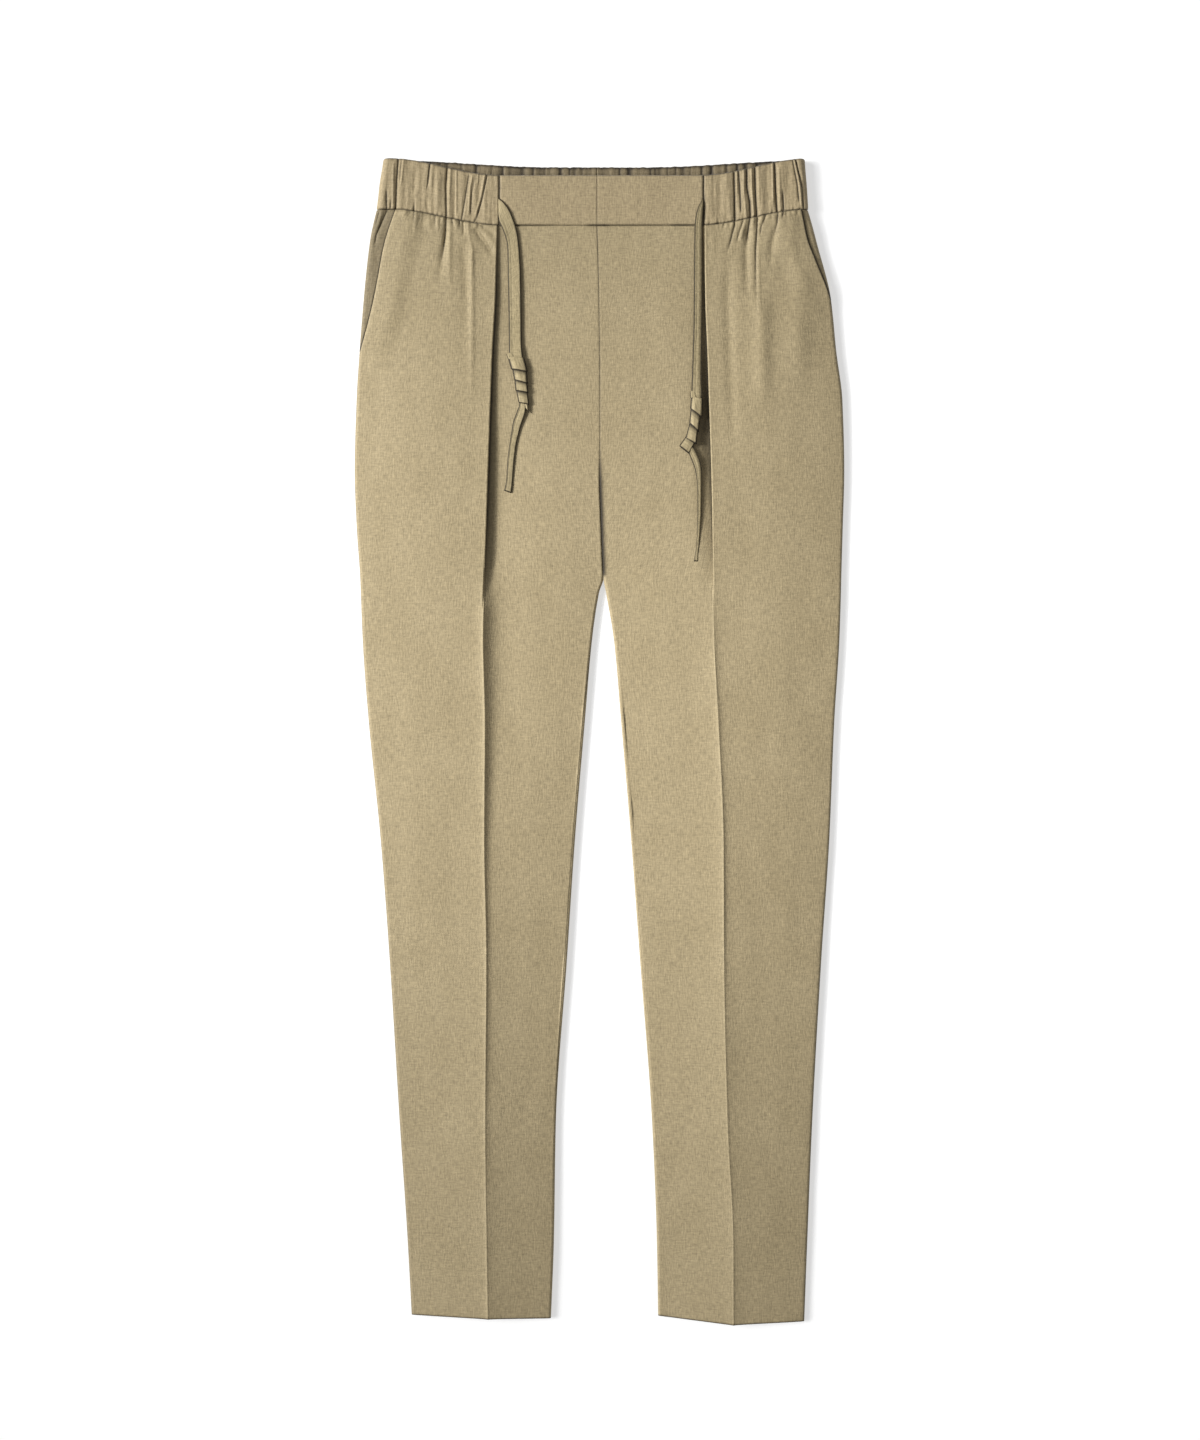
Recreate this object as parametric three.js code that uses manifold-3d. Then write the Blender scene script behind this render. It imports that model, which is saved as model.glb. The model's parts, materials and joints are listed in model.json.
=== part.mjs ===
// Pull-on pleated trousers laid flat with the front up, on the plane z = 0. Millimetres.
// X runs to the wearer's left, Y from hem to waist, Z off the surface. In every section table
// "d" is a distance from the garment's middle plane, outwards on the leg that the table is for.
import * as THREE from "three";
import Module from "manifold-3d";
import { mergeVertices } from "three/addons/utils/BufferGeometryUtils.js";

const wasm = await Module();
wasm.setup();

// Cloth and seams
const WALL = 1.2; // crepe with its seam allowances
const SEAM = 0.3; // gap between two sewn pieces
const FOLD_SEAM = 0.4; // the same where the seam lies on a round fold
const PLY = 1.7; // middle of one pleat layer to the middle of the next
const HEM_DEPTH = 34; // turned-up hem
const HEM_EXTRA = 0.8; // what the turned-up layer adds inside

// Waistband
const BAND_WALL = 2.6; // two layers of cloth round the elastic
const BAND_BOTTOM = 451.1; // waist seam at the middle of the front
const BAND_HEIGHT = 43.5; // height of the flat front part
const BAND_RISE = { bottom: 14, top: 15.1, from: 86, to: 184 }; // the seam climbs towards the sides
const BACK_RISE = { bottom: 8.5, top: 9 }; // how much higher the back lies at the middle
const BAND_FRONT_Z = 10.5; // middle of the flat front part's wall
const BAND_FOLD = 4.3; // radius of the band's side fold, to the middle of its wall
const BAND_GAP = 0.45; // at the waist seam, whose two curved edges have different points
const SLIT = { from: 5, to: 25, width: 1.5, below: 8, above: 14 }; // the drawstring's, over the seam

// The centre seam, front and back, from the waist to the crotch
const CENTRE = [
  { y: 451, x: -2.2 },
  { y: 385, x: -0.4 },
  { y: 300, x: 0.4 },
  { y: 238, x: 0.4 },
  { y: 190, x: 1.8 },
  { y: 145, x: 3.5 },
];

// Outline of each leg, down the leg: outer edge, pressed crease and, below the crotch, inner edge
const OUTLINE = {
  right: [
    { y: 451, outer: 194.7, crease: 88.8, inner: -3.5 },
    { y: 427, outer: 200.4, crease: 89.5, inner: -3.5 },
    { y: 385, outer: 206.0, crease: 90.6, inner: -3.5 },
    { y: 342, outer: 209.6, crease: 93.0, inner: -3.5 },
    { y: 300, outer: 212.2, crease: 94.6, inner: -3.5 },
    { y: 238, outer: 213.9, crease: 96.8, inner: -3.5 },
    { y: 190, outer: 212.2, crease: 98.4, inner: -3.5 },
    { y: 145, outer: 209.1, crease: 100.2, inner: -3.5 },
    { y: 132, outer: 208.6, crease: 100.6, inner: 0.4 },
    { y: 90, outer: 206.9, crease: 101.6, inner: 6.6 },
    { y: 20, outer: 201.7, crease: 99.9, inner: 12.7 },
    { y: -84, outer: 191.2, crease: 100.5, inner: 21.4 },
    { y: -189, outer: 183.3, crease: 98.6, inner: 28.4 },
    { y: -330, outer: 174.6, crease: 99.5, inner: 38.1 },
    { y: -434, outer: 167.6, crease: 98.2, inner: 39.8 },
    { y: -503, outer: 164.1, crease: 97.1, inner: 42.4 },
  ],
  left: [
    { y: 451, outer: 182.0, crease: 91.4, inner: 3.5 },
    { y: 427, outer: 189.4, crease: 91.5, inner: 3.5 },
    { y: 385, outer: 202.3, crease: 92.0, inner: 3.5 },
    { y: 342, outer: 206.9, crease: 93.8, inner: 3.5 },
    { y: 300, outer: 212.2, crease: 95.2, inner: 3.5 },
    { y: 238, outer: 213.9, crease: 97.2, inner: 3.5 },
    { y: 190, outer: 212.6, crease: 98.2, inner: 3.5 },
    { y: 145, outer: 211.3, crease: 98.8, inner: 3.5 },
    { y: 132, outer: 211.0, crease: 99.0, inner: 5.7 },
    { y: 90, outer: 209.6, crease: 99.8, inner: 12.7 },
    { y: 20, outer: 205.2, crease: 103.4, inner: 18.8 },
    { y: -84, outer: 200.8, crease: 107.8, inner: 27.6 },
    { y: -189, outer: 193.8, crease: 108.3, inner: 35.4 },
    { y: -330, outer: 185.9, crease: 111.4, inner: 45.9 },
    { y: -434, outer: 181.6, crease: 116.3, inner: 51.2 },
    { y: -503, outer: 178.9, crease: 116.5, inner: 54.7 },
  ],
};

// Section heights, the same on both legs: side fold radius, height of the crease, height at the
// centre seam, the pleat's turn in degrees, its lap, and how far the inseam rolls onto the front
const SECTION = [
  { y: 451, fold: 4.2, top: 12.2, middle: 10.2, turn: 180, lap: 15, roll: 0 },
  { y: 385, fold: 3.2, top: 12.6, middle: 9.6, turn: 180, lap: 12, roll: 0 },
  { y: 300, fold: 2.6, top: 12.6, middle: 8.8, turn: 180, lap: 9, roll: 0 },
  { y: 238, fold: 2.3, top: 12.4, middle: 8.0, turn: 180, lap: 6, roll: 0 },
  { y: 165, fold: 2.2, top: 12.0, middle: 6.6, turn: 165, lap: 3.5, roll: 0 },
  { y: 145, fold: 2.2, top: 11.8, middle: 5.6, turn: 120, lap: 3, roll: 0 },
  { y: 112, fold: 2.2, top: 11.6, middle: 5.2, turn: 52, lap: 4.5, roll: 5 },
  { y: 60, fold: 2.2, top: 11.4, middle: 5.0, turn: 15, lap: 14, roll: 40 },
  { y: 20, fold: 2.2, top: 11.3, middle: 5.0, turn: 8, lap: 24, roll: 70 },
  { y: -189, fold: 2.2, top: 11.0, middle: 5.0, turn: 6, lap: 26, roll: 75 },
  { y: -330, fold: 2.2, top: 10.9, middle: 5.0, turn: 6, lap: 24, roll: 30 },
  { y: -503, fold: 2.2, top: 10.8, middle: 5.0, turn: 6, lap: 22, roll: 0 },
];

// Slanted pocket edges, from the waist seam down to where each reaches the side
const POCKET = {
  right: [
    { y: 451, d: 177.2 },
    { y: 422, d: 187.7 },
    { y: 400, d: 192.9 },
    { y: 382, d: 197.3 },
    { y: 342, d: 208.4 },
  ],
  left: [
    { y: 451, d: 175.4 },
    { y: 428, d: 180.7 },
    { y: 413, d: 187.7 },
    { y: 393, d: 198.0 },
    { y: 385, d: 201.1 },
  ],
};
const pocketEnd = (side) => POCKET[side].at(-1).y;
const FACING_TUCK = 15; // how far the facing runs on behind the pocket edge
// The front lies this much above the facing, and comes down to rest over these lengths
const FACING_LIFT = { height: WALL + SEAM + 0.3, below: 34, inside: 18, side: 12 };
const BULGE = 0.8; // how far the top layer bows up between the side fold and the crease
const LEVEL_RUN = 5; // how far beyond the pleat's lap it runs level

// Folds that run down from the elastic: where each starts and ends, and its height (a trough is < 0)
const FOLDS = {
  right: [
    { top: 134, bottom: 137, from: 458, to: 405, height: -1.3, half: 8 },
    { top: 110, bottom: 109, from: 452, to: 290, height: 1.0, half: 10 },
    { top: 121, bottom: 120, from: 454, to: 415, height: -0.8, half: 7 },
    { top: 152, bottom: 158, from: 460, to: 425, height: -0.8, half: 8 },
  ],
  left: [
    { top: 118, bottom: 111, from: 455, to: 415, height: -1.1, half: 7 },
    { top: 132, bottom: 128, from: 458, to: 400, height: -1.3, half: 7 },
    { top: 140, bottom: 139, from: 459, to: 290, height: 1.1, half: 9 },
    { top: 156, bottom: 154, from: 462, to: 425, height: -0.8, half: 8 },
  ],
};

// Gathers in the front of the elastic band: each valley's place at the band's top and bottom
const GATHERS = {
  right: [
    { top: 104, bottom: 103, depth: 0.5 },
    { top: 115, bottom: 120, depth: 0.8 },
    { top: 132.6, bottom: 133.4, depth: 1.3 },
    { top: 148, bottom: 150, depth: 1.0 },
    { top: 162, bottom: 164, depth: 0.6 },
    { top: 175.5, bottom: 177.2, depth: 1.3 },
  ],
  left: [
    { top: 104, bottom: 103, depth: 0.5 },
    { top: 117.2, bottom: 117.7, depth: 1.3 },
    { top: 128.2, bottom: 129.5, depth: 0.7 },
    { top: 138, bottom: 139, depth: 1.3 },
    { top: 153, bottom: 155.3, depth: 1.0 },
    { top: 167, bottom: 169, depth: 0.9 },
  ],
};
const BACK_GATHERS = { count: 15, depth: 0.6, margin: 5 }; // in each half of the back, inside it
const BAND_OUTER = { right: { top: 188.4, bottom: 194.5 }, left: { top: 178.9, bottom: 182.5 } };
const BAND_SEAM = { right: 87.1, left: 90.6 }; // seam between the flat and the gathered band

// The hem's bottom edge at the outer edge, the crease and the inner edge of each leg
const HEM = {
  right: { outer: -500.9, crease: -504.4, inner: -502.7 },
  left: { outer: -504.4, crease: -509.7, inner: -499.5 },
};
const HEM_NOMINAL = -503;
const HEM_FADE = 70; // the hem's slant has gone this far up

// Section heights used on both legs, from the waist seam to the hem
const ROWS = [
  451, 438, 424, 405, 364, 320, 300, 270, 238, 200, 165, 149, 142, 126, 104, 80, 50, 20, -84, -189,
  -330, -434, HEM_NOMINAL + HEM_DEPTH + 1, HEM_NOMINAL + HEM_DEPTH, HEM_NOMINAL,
];
const CROTCH = 145;

// Drawstrings: flat tubes of the trousers' own cloth
const TAPE = { width: 8.8, thick: 2.0, corner: 0.7, tail: 7.2, tailEnd: 4.6 };
// Radius of a knot's upper and lower end, the relief of each wrap, how thick it lies, its lean
const KNOT = { wraps: 6, upper: 7.2, lower: 4.6, relief: 0.7, thick: 7, lean: 0.3 };

const clamp01 = (t) => Math.min(1, Math.max(0, t));
const smooth = (from, to, v) => {
  const t = clamp01((v - from) / (to - from));
  return t * t * (3 - 2 * t);
};
const mix = (a, b, t) => a + (b - a) * t;

// The value of one column of a table at height y, on a curve that never overshoots its rows
function at(table, column, y) {
  const last = table.length - 1;
  if (y >= table[0].y) return table[0][column];
  if (y <= table[last].y) return table[last][column];
  let i = 0;
  while (table[i + 1].y > y) i++;
  const slope = (k) => (table[k + 1][column] - table[k][column]) / (table[k + 1].y - table[k].y);
  const tangent = (k) => {
    if (k === 0 || k === last) return slope(Math.min(k, last - 1));
    const [before, after] = [slope(k - 1), slope(k)];
    return before * after <= 0 ? 0 : (2 * before * after) / (before + after);
  };
  const span = table[i + 1].y - table[i].y;
  const t = (y - table[i].y) / span;
  return (
    (2 * t ** 3 - 3 * t ** 2 + 1) * table[i][column] +
    (t ** 3 - 2 * t ** 2 + t) * span * tangent(i) +
    (3 * t ** 2 - 2 * t ** 3) * table[i + 1][column] +
    (t ** 3 - t ** 2) * span * tangent(i + 1)
  );
}

// The centre seam's distance outwards on this leg, with half the seam's gap
const signOf = (side) => (side === "left" ? 1 : -1);
const centreEdge = (side, y) => signOf(side) * at(CENTRE, "x", y) + SEAM / 2;

// How far the front's waist seam climbs above the middle of the front
const seamRise = (d) => BAND_RISE.bottom * smooth(BAND_RISE.from, BAND_RISE.to, d);
const backSeamRise = (d) => mix(BACK_RISE.bottom, BAND_RISE.bottom, smooth(40, BAND_RISE.to, d));

// What a row is moved by at distance d: the waist seam's climb above, the hem's slant below
function rowShift(side, y, d, rise) {
  const waist = rise(d) * smooth(364, BAND_BOTTOM, y);
  const [outer, crease, inner] = ["outer", "crease", "inner"].map((c) => at(OUTLINE[side], c, y));
  const hem = HEM[side];
  const low =
    d > crease
      ? mix(hem.crease, hem.outer, (d - crease) / (outer - crease))
      : mix(hem.crease, hem.inner, (crease - d) / (crease - inner));
  return waist + (low - HEM_NOMINAL) * (1 - smooth(HEM_NOMINAL, HEM_NOMINAL + HEM_FADE, y));
}

// The round fold at a leg's outer side, to the middle of the wall
function outerFold(side, y) {
  const radius = at(SECTION, "fold", y);
  return { radius, d: at(OUTLINE[side], "outer", y) - WALL / 2 - radius, z: WALL / 2 + radius };
}

// The same at its inner side, below the crotch
function innerFold(side, y) {
  const radius = at(SECTION, "fold", CROTCH);
  return { radius, d: at(OUTLINE[side], "inner", y) + WALL / 2 + radius, z: WALL / 2 + radius };
}

// Where the top layer stops climbing and runs level to the pleat's folded edge
function shelf(side, y) {
  const turn = at(SECTION, "turn", y);
  const level = (at(SECTION, "lap", y) + LEVEL_RUN) * smooth(20, 120, turn);
  return { d: at(OUTLINE[side], "crease", y) + level, z: at(SECTION, "top", y) };
}

// Height of the top layer between the side fold and the crease, with the folds under the elastic
function topHeight(side, y, d) {
  const fold = outerFold(side, y);
  const end = shelf(side, y);
  const t = clamp01((fold.d - d) / (fold.d - end.d));
  let z = mix(fold.z + fold.radius, end.z, t) + BULGE * Math.sin(Math.PI * t);
  for (const f of FOLDS[side]) {
    const along = clamp01((f.from - y) / (f.from - f.to));
    const across = clamp01(Math.abs(d - mix(f.top, f.bottom, along)) / f.half);
    z += f.height * (1 - along) * Math.cos((across * Math.PI) / 2) ** 2;
  }
  return z;
}

// Lift of the front where it lies over the pocket facing
function facingLift(side, y, d) {
  const pocket = POCKET[side];
  const end = pocketEnd(side);
  const inside = at(pocket, "d", y) - FACING_TUCK;
  const fold = outerFold(side, y);
  const lift = FACING_LIFT;
  const nearSide = y < end ? smooth(0, lift.side, fold.d - d) : 1;
  const rested = 1 - smooth(0, lift.inside, inside - d);
  return lift.height * smooth(end - lift.below, end, y) * rested * nearSide;
}

// One section of a front leg, from the side to the centre seam or inseam: points [d, z]
function frontSection(side, y) {
  const fold = outerFold(side, y);
  const start = shelf(side, y);
  const points = [];
  const gap = FOLD_SEAM / 2 / fold.radius;
  const steps = 3;
  let first = fold.d;
  if (y >= pocketEnd(side)) {
    first = at(POCKET[side], "d", y) - 3;
    for (let i = 0; i < steps; i++) points.push([first + 3 - i, 0]);
  } else {
    for (let i = 0; i < steps; i++) {
      const angle = mix(gap, Math.PI / 2, i / steps);
      points.push([fold.d + fold.radius * Math.cos(angle), fold.z + fold.radius * Math.sin(angle)]);
    }
  }
  const across = 11;
  for (let i = 0; i < across; i++) points.push([mix(first, start.d, i / across), 0]);
  for (const p of points) {
    if (p[0] <= fold.d || y >= pocketEnd(side)) {
      p[1] = topHeight(side, y, Math.min(p[0], fold.d)) + facingLift(side, y, p[0]);
    }
  }
  points.push([start.d, topHeight(side, y, start.d)]);
  const bottom = pleat(side, y, points);
  toCentre(side, y, bottom, points);
  return points;
}

// The pleat: over its folded edge, back under by the lap, and round to the centre's layer. Down
// the leg it opens into the pressed crease. Adds its points and returns the last.
function pleat(side, y, points) {
  const radius = PLY / 2;
  const turn = THREE.MathUtils.degToRad(at(SECTION, "turn", y));
  const lap = at(SECTION, "lap", y);
  const edge = at(OUTLINE[side], "crease", y);
  const reach = (WALL / 2 + radius) * (turn > Math.PI / 2 ? 1 : Math.sin(turn));
  const c = [edge + reach, at(SECTION, "top", y) - radius];
  const steps = 3;
  for (let i = 0; i <= steps; i++) {
    const a = (turn * i) / steps;
    points.push([c[0] - radius * Math.sin(a), c[1] + radius * Math.cos(a)]);
  }
  const q = points[points.length - 1];
  const e = [q[0] - lap * Math.cos(turn), q[1] - lap * Math.sin(turn)];
  const c2 = [e[0] - radius * Math.sin(turn), e[1] + radius * Math.cos(turn)];
  for (let i = steps; i >= 0; i--) {
    const a = (turn * i) / steps;
    points.push([c2[0] + radius * Math.sin(a), c2[1] - radius * Math.cos(a)]);
  }
  return points[points.length - 1];
}

// From the pleat to the centre seam, or over the inner fold to the inseam
function toCentre(side, y, from, points) {
  const edge = at(OUTLINE[side], "crease", y);
  const level = Math.min(from[0], edge - 2);
  const arc = 3;
  if (y > CROTCH) {
    const end = centreEdge(side, y);
    if (from[0] - level > 1) points.push([level, from[1]]);
    else points.push([from[0] - 1, from[1]]);
    const z0 = from[1];
    const z1 = at(SECTION, "middle", y);
    for (let i = 1; i <= 3; i++) {
      const t = i / 4;
      points.push([mix(level, end, t), mix(z0, z1, t) - 0.5 * Math.sin(Math.PI * t)]);
    }
    for (let i = arc; i >= 0; i--) points.push([end + i * 1.2, z1]);
    return;
  }
  const fold = innerFold(side, y);
  const top = fold.z + fold.radius;
  points.push([from[0] - 1, from[1]]);
  for (let i = 1; i <= 3; i++) {
    const t = i / 4;
    points.push([mix(from[0], fold.d, t), mix(from[1], top, t)]);
  }
  const roll = THREE.MathUtils.degToRad(at(SECTION, "roll", y)) + FOLD_SEAM / 2 / fold.radius;
  for (let i = arc; i >= 0; i--) {
    const a = mix(roll, Math.PI / 2, i / arc);
    points.push([fold.d - fold.radius * Math.cos(a), fold.z + fold.radius * Math.sin(a)]);
  }
}

// One section of a back leg, from the centre seam or inseam, flat on the surface, to the side seam
function backSection(side, y) {
  const outer = outerFold(side, y);
  const points = [];
  const arc = 4;
  if (y > CROTCH) {
    const end = centreEdge(side, y);
    for (let i = 0; i <= arc; i++) points.push([end + i * 1.5, WALL / 2]);
  } else {
    const fold = innerFold(side, y);
    const roll = THREE.MathUtils.degToRad(at(SECTION, "roll", y)) - FOLD_SEAM / 2 / fold.radius;
    for (let i = 0; i <= arc; i++) {
      const a = mix(roll, -Math.PI / 2, i / arc);
      points.push([fold.d - fold.radius * Math.cos(a), fold.z + fold.radius * Math.sin(a)]);
    }
  }
  const flat = points[points.length - 1][0];
  for (let i = 1; i <= 3; i++) points.push([mix(flat, outer.d, i / 4), WALL / 2]);
  const gap = FOLD_SEAM / 2 / outer.radius;
  for (let i = 0; i <= arc; i++) {
    const a = mix(-Math.PI / 2, -gap, i / arc);
    points.push([outer.d + outer.radius * Math.cos(a), outer.z + outer.radius * Math.sin(a)]);
  }
  return points;
}

// A closed wall through sections of [d, z] points, thickened along each section's own normals.
// Each row has y(d), its points and the thickness outside and inside the middle line, and may
// have the directions in which it starts and ends.
function wall(side, rows) {
  const count = rows[0].points.length;
  const skin = [];
  for (const row of rows) {
    row.points.forEach((p, i) => {
      const a = row.points[Math.max(0, i - 1)];
      const b = row.points[Math.min(count - 1, i + 1)];
      const u = new THREE.Vector2(p[0] - a[0], p[1] - a[1]).normalize();
      const v = new THREE.Vector2(b[0] - p[0], b[1] - p[1]).normalize();
      const ends = { 0: row.first ?? v, [count - 1]: row.last ?? u };
      const along = ends[i] ?? u.clone().add(v).normalize();
      const miter = i in ends ? 1 : 1 / Math.max(0.5, along.dot(u));
      const n = [along.y * miter, -along.x * miter];
      const y = row.y(p[0]);
      const out = row.out(i);
      const inn = row.inn(i);
      skin.push([p[0] + n[0] * out, y, p[1] + n[1] * out]);
      skin.push([p[0] - n[0] * inn, y, p[1] - n[1] * inn]);
    });
  }
  const O = (j, i) => 2 * (j * count + i);
  const I = (j, i) => O(j, i) + 1;
  const faces = [];
  const quad = (a, b, c, d) => faces.push(a, b, c, a, c, d);
  const last = rows.length - 1;
  for (let j = 0; j < last; j++) {
    for (let i = 0; i < count - 1; i++) {
      quad(O(j, i), O(j, i + 1), O(j + 1, i + 1), O(j + 1, i));
      quad(I(j, i), I(j + 1, i), I(j + 1, i + 1), I(j, i + 1));
    }
    quad(O(j, 0), O(j + 1, 0), I(j + 1, 0), I(j, 0));
    quad(O(j, count - 1), I(j, count - 1), I(j + 1, count - 1), O(j + 1, count - 1));
  }
  for (let i = 0; i < count - 1; i++) {
    quad(O(0, i), I(0, i), I(0, i + 1), O(0, i + 1));
    quad(O(last, i), O(last, i + 1), I(last, i + 1), I(last, i));
  }
  const sign = side === "left" ? 1 : -1;
  const geometry = new THREE.BufferGeometry();
  const position = skin.flatMap(([d, y, z]) => [sign * d, y, z]);
  geometry.setAttribute("position", new THREE.Float32BufferAttribute(position, 3));
  geometry.setIndex(faces);
  return facingOut(geometry);
}

// The geometry with its faces turned to point outwards
function facingOut(geometry) {
  const p = geometry.attributes.position;
  const index = [...geometry.index.array];
  const [a, b, c] = [new THREE.Vector3(), new THREE.Vector3(), new THREE.Vector3()];
  let volume = 0;
  for (let i = 0; i < index.length; i += 3) {
    a.fromBufferAttribute(p, index[i]);
    b.fromBufferAttribute(p, index[i + 1]);
    c.fromBufferAttribute(p, index[i + 2]);
    volume += a.dot(b.cross(c));
  }
  if (volume < 0) {
    for (let i = 0; i < index.length; i += 3) {
      [index[i + 1], index[i + 2]] = [index[i + 2], index[i + 1]];
    }
    geometry.setIndex(index);
  }
  return geometry;
}

function toSolid(geometry) {
  const bare = geometry.clone();
  bare.deleteAttribute("normal");
  bare.deleteAttribute("uv");
  const merged = mergeVertices(bare, 1e-4);
  return new wasm.Manifold(
    new wasm.Mesh({
      numProp: 3,
      vertProperties: new Float32Array(merged.attributes.position.array),
      triVerts: new Uint32Array(merged.index.array),
    }),
  );
}

// One geometry with another cut away
function cut(geometry, tool) {
  const mesh = toSolid(geometry).subtract(toSolid(tool)).getMesh();
  const made = new THREE.BufferGeometry();
  made.setAttribute("position", new THREE.BufferAttribute(mesh.vertProperties, 3));
  made.setIndex(new THREE.BufferAttribute(mesh.triVerts, 1));
  return made;
}

function box(from, to) {
  const size = to.map((v, i) => v - from[i]);
  const centre = to.map((v, i) => (v + from[i]) / 2);
  return new THREE.BoxGeometry(...size).translate(...centre);
}

const rowsOf = (side) => {
  const end = pocketEnd(side);
  return [...ROWS, end, end - 4].sort((a, b) => b - a);
};

// Directions of a wall's edge where it meets the next one on the side fold or the inner fold
const UP = new THREE.Vector2(0, 1);
const inseamDirection = (y) => {
  const roll = THREE.MathUtils.degToRad(at(SECTION, "roll", y));
  return y > CROTCH ? undefined : new THREE.Vector2(-Math.sin(roll), -Math.cos(roll));
};
const frontEnds = (side, y) => ({
  first: y >= pocketEnd(side) ? undefined : UP,
  last: inseamDirection(y),
});
const backEnds = (side, y) => ({ first: inseamDirection(y), last: UP });

function legWall(side, section, ends, rise) {
  const rows = rowsOf(side).map((y) => ({
    ...ends(side, y),
    y: (d) => y + rowShift(side, y, d, rise),
    points: section(side, y),
    out: () => WALL / 2,
    inn: () => WALL / 2 + (y <= HEM_NOMINAL + HEM_DEPTH ? HEM_EXTRA : 0),
  }));
  return wall(side, rows);
}

function facingWall(side) {
  const end = pocketEnd(side);
  const heights = rowsOf(side).filter((y) => y > end);
  const rows = [...heights, end + SEAM].map((y) => {
    const fold = outerFold(side, y);
    const points = [];
    const arc = 4;
    for (let i = 0; i < arc; i++) {
      const a = mix(FOLD_SEAM / 2 / fold.radius, Math.PI / 2, i / arc);
      points.push([fold.d + fold.radius * Math.cos(a), fold.z + fold.radius * Math.sin(a)]);
    }
    const to = at(POCKET[side], "d", y) - FACING_TUCK;
    for (let i = 0; i <= 4; i++) {
      const d = mix(fold.d, to, i / 4);
      points.push([d, topHeight(side, y, d)]);
    }
    return {
      first: UP,
      y: (d) => y + rowShift(side, y, d, seamRise),
      points,
      out: () => WALL / 2,
      inn: () => WALL / 2,
    };
  });
  return wall(side, rows);
}

// Heights of the band's rows, from its top edge (1) to the waist seam (0)
const BAND_ROWS = [1, 0.66, 0.33, 0];
const bandY = (d, t, back) => {
  const climb = smooth(BAND_RISE.from, BAND_RISE.to, d);
  const fall = smooth(40, BAND_RISE.to, d);
  const bottom = back ? mix(BACK_RISE.bottom, BAND_RISE.bottom, fall) : BAND_RISE.bottom * climb;
  const top = back ? mix(BACK_RISE.top, BAND_RISE.top, fall) : BAND_RISE.top * climb;
  return BAND_BOTTOM + BAND_GAP + mix(bottom, BAND_HEIGHT - BAND_GAP + top, t);
};

// The gathered band, from the front seam over the side fold to the centre back
function elasticBand(side) {
  const bandOuter = BAND_OUTER[side];
  const rows = BAND_ROWS.map((t) => {
    const stations = [];
    const seam = BAND_SEAM[side] + SEAM / 2;
    const low = BAND_WALL / 2;
    const outer = mix(bandOuter.bottom, bandOuter.top, t) - BAND_WALL / 2;
    const foldD = outer - BAND_FOLD;
    const foldTop = low + 2 * BAND_FOLD;
    const frontZ = (d) => mix(BAND_FRONT_Z, foldTop, clamp01((d - seam) / (foldD - seam)));
    const valleys = GATHERS[side].map((g) => ({ d: mix(g.bottom, g.top, t), depth: g.depth }));
    const put = (d, wave) => stations.push({ p: [d, frontZ(d)], out: wave, inn: -0.4 * wave });
    put(seam, 0);
    valleys.forEach((v, k) => {
      const before = k ? valleys[k - 1].d : seam - 4;
      const ridge = (before + v.d) / 2;
      put(ridge, 0.35 * v.depth);
      put(mix(ridge, v.d, 0.5), 0.1 * v.depth);
      put(v.d, -v.depth);
      put(v.d + 0.25 * (v.d - ridge), -0.2 * v.depth);
    });
    const arc = 6;
    for (let i = 0; i <= arc; i++) {
      const a = mix(Math.PI / 2, -Math.PI / 2, i / arc);
      const p = [foldD + BAND_FOLD * Math.cos(a), low + BAND_FOLD + BAND_FOLD * Math.sin(a)];
      stations.push({ p, out: 0, inn: 0 });
    }
    const { count, depth, margin } = BACK_GATHERS;
    const start = foldD - 4;
    for (let k = 0; k < count; k++) {
      const uneven = 0.25 * Math.sin(2.4 * k + (side === "left" ? 1 : 0));
      const ridge = mix(start, SEAM / 2 + margin, (k + 0.5 * (uneven + 0.5)) / count);
      const step = (start - margin) / count;
      stations.push({ p: [ridge, low], out: 0, inn: depth * (0.8 + uneven) });
      stations.push({ p: [ridge - step * 0.5, low], out: 0, inn: -0.1 });
    }
    stations.push({ p: [centreEdge(side, BAND_BOTTOM), low], out: 0, inn: 0 });
    const edge = stations.map((s) => s.p[1] < low + BAND_FOLD - 1e-6);
    return { stations: stations.reverse(), edge: edge.reverse(), t };
  });
  return wall(
    side,
    rows.map(({ stations, edge, t }) => {
      const points = stations.map((s) => s.p);
      let next = 0;
      const heights = points.map((p, i) => bandY(p[0], t, edge[i]));
      return {
        y: () => heights[next++],
        points,
        out: (i) => BAND_WALL / 2 + stations[i].out,
        inn: (i) => BAND_WALL / 2 + stations[i].inn,
      };
    }),
  );
}

function withSlit(side, geometry) {
  const sign = side === "left" ? 1 : -1;
  const seam = sign * BAND_SEAM[side];
  const end = seam + sign * (SLIT.width + SEAM / 2);
  const low = BAND_BOTTOM + SLIT.from;
  const high = BAND_BOTTOM + SLIT.to;
  const tool = box(
    [Math.min(seam, end), low, SLIT.below],
    [Math.max(seam, end), high, SLIT.above],
  );
  return cut(geometry, tool);
}

function flatBand(side) {
  const from = BAND_SEAM[side] - SEAM / 2;
  const to = centreEdge(side, BAND_BOTTOM);
  const count = 6;
  const rows = [1, 0.5, 0].map((t) => ({
    y: (d) => bandY(d, t, false),
    points: Array.from({ length: count + 1 }, (_, i) => [mix(from, to, i / count), BAND_FRONT_Z]),
    out: () => BAND_WALL / 2,
    inn: () => BAND_WALL / 2,
  }));
  return wall(side, rows);
}

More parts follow.
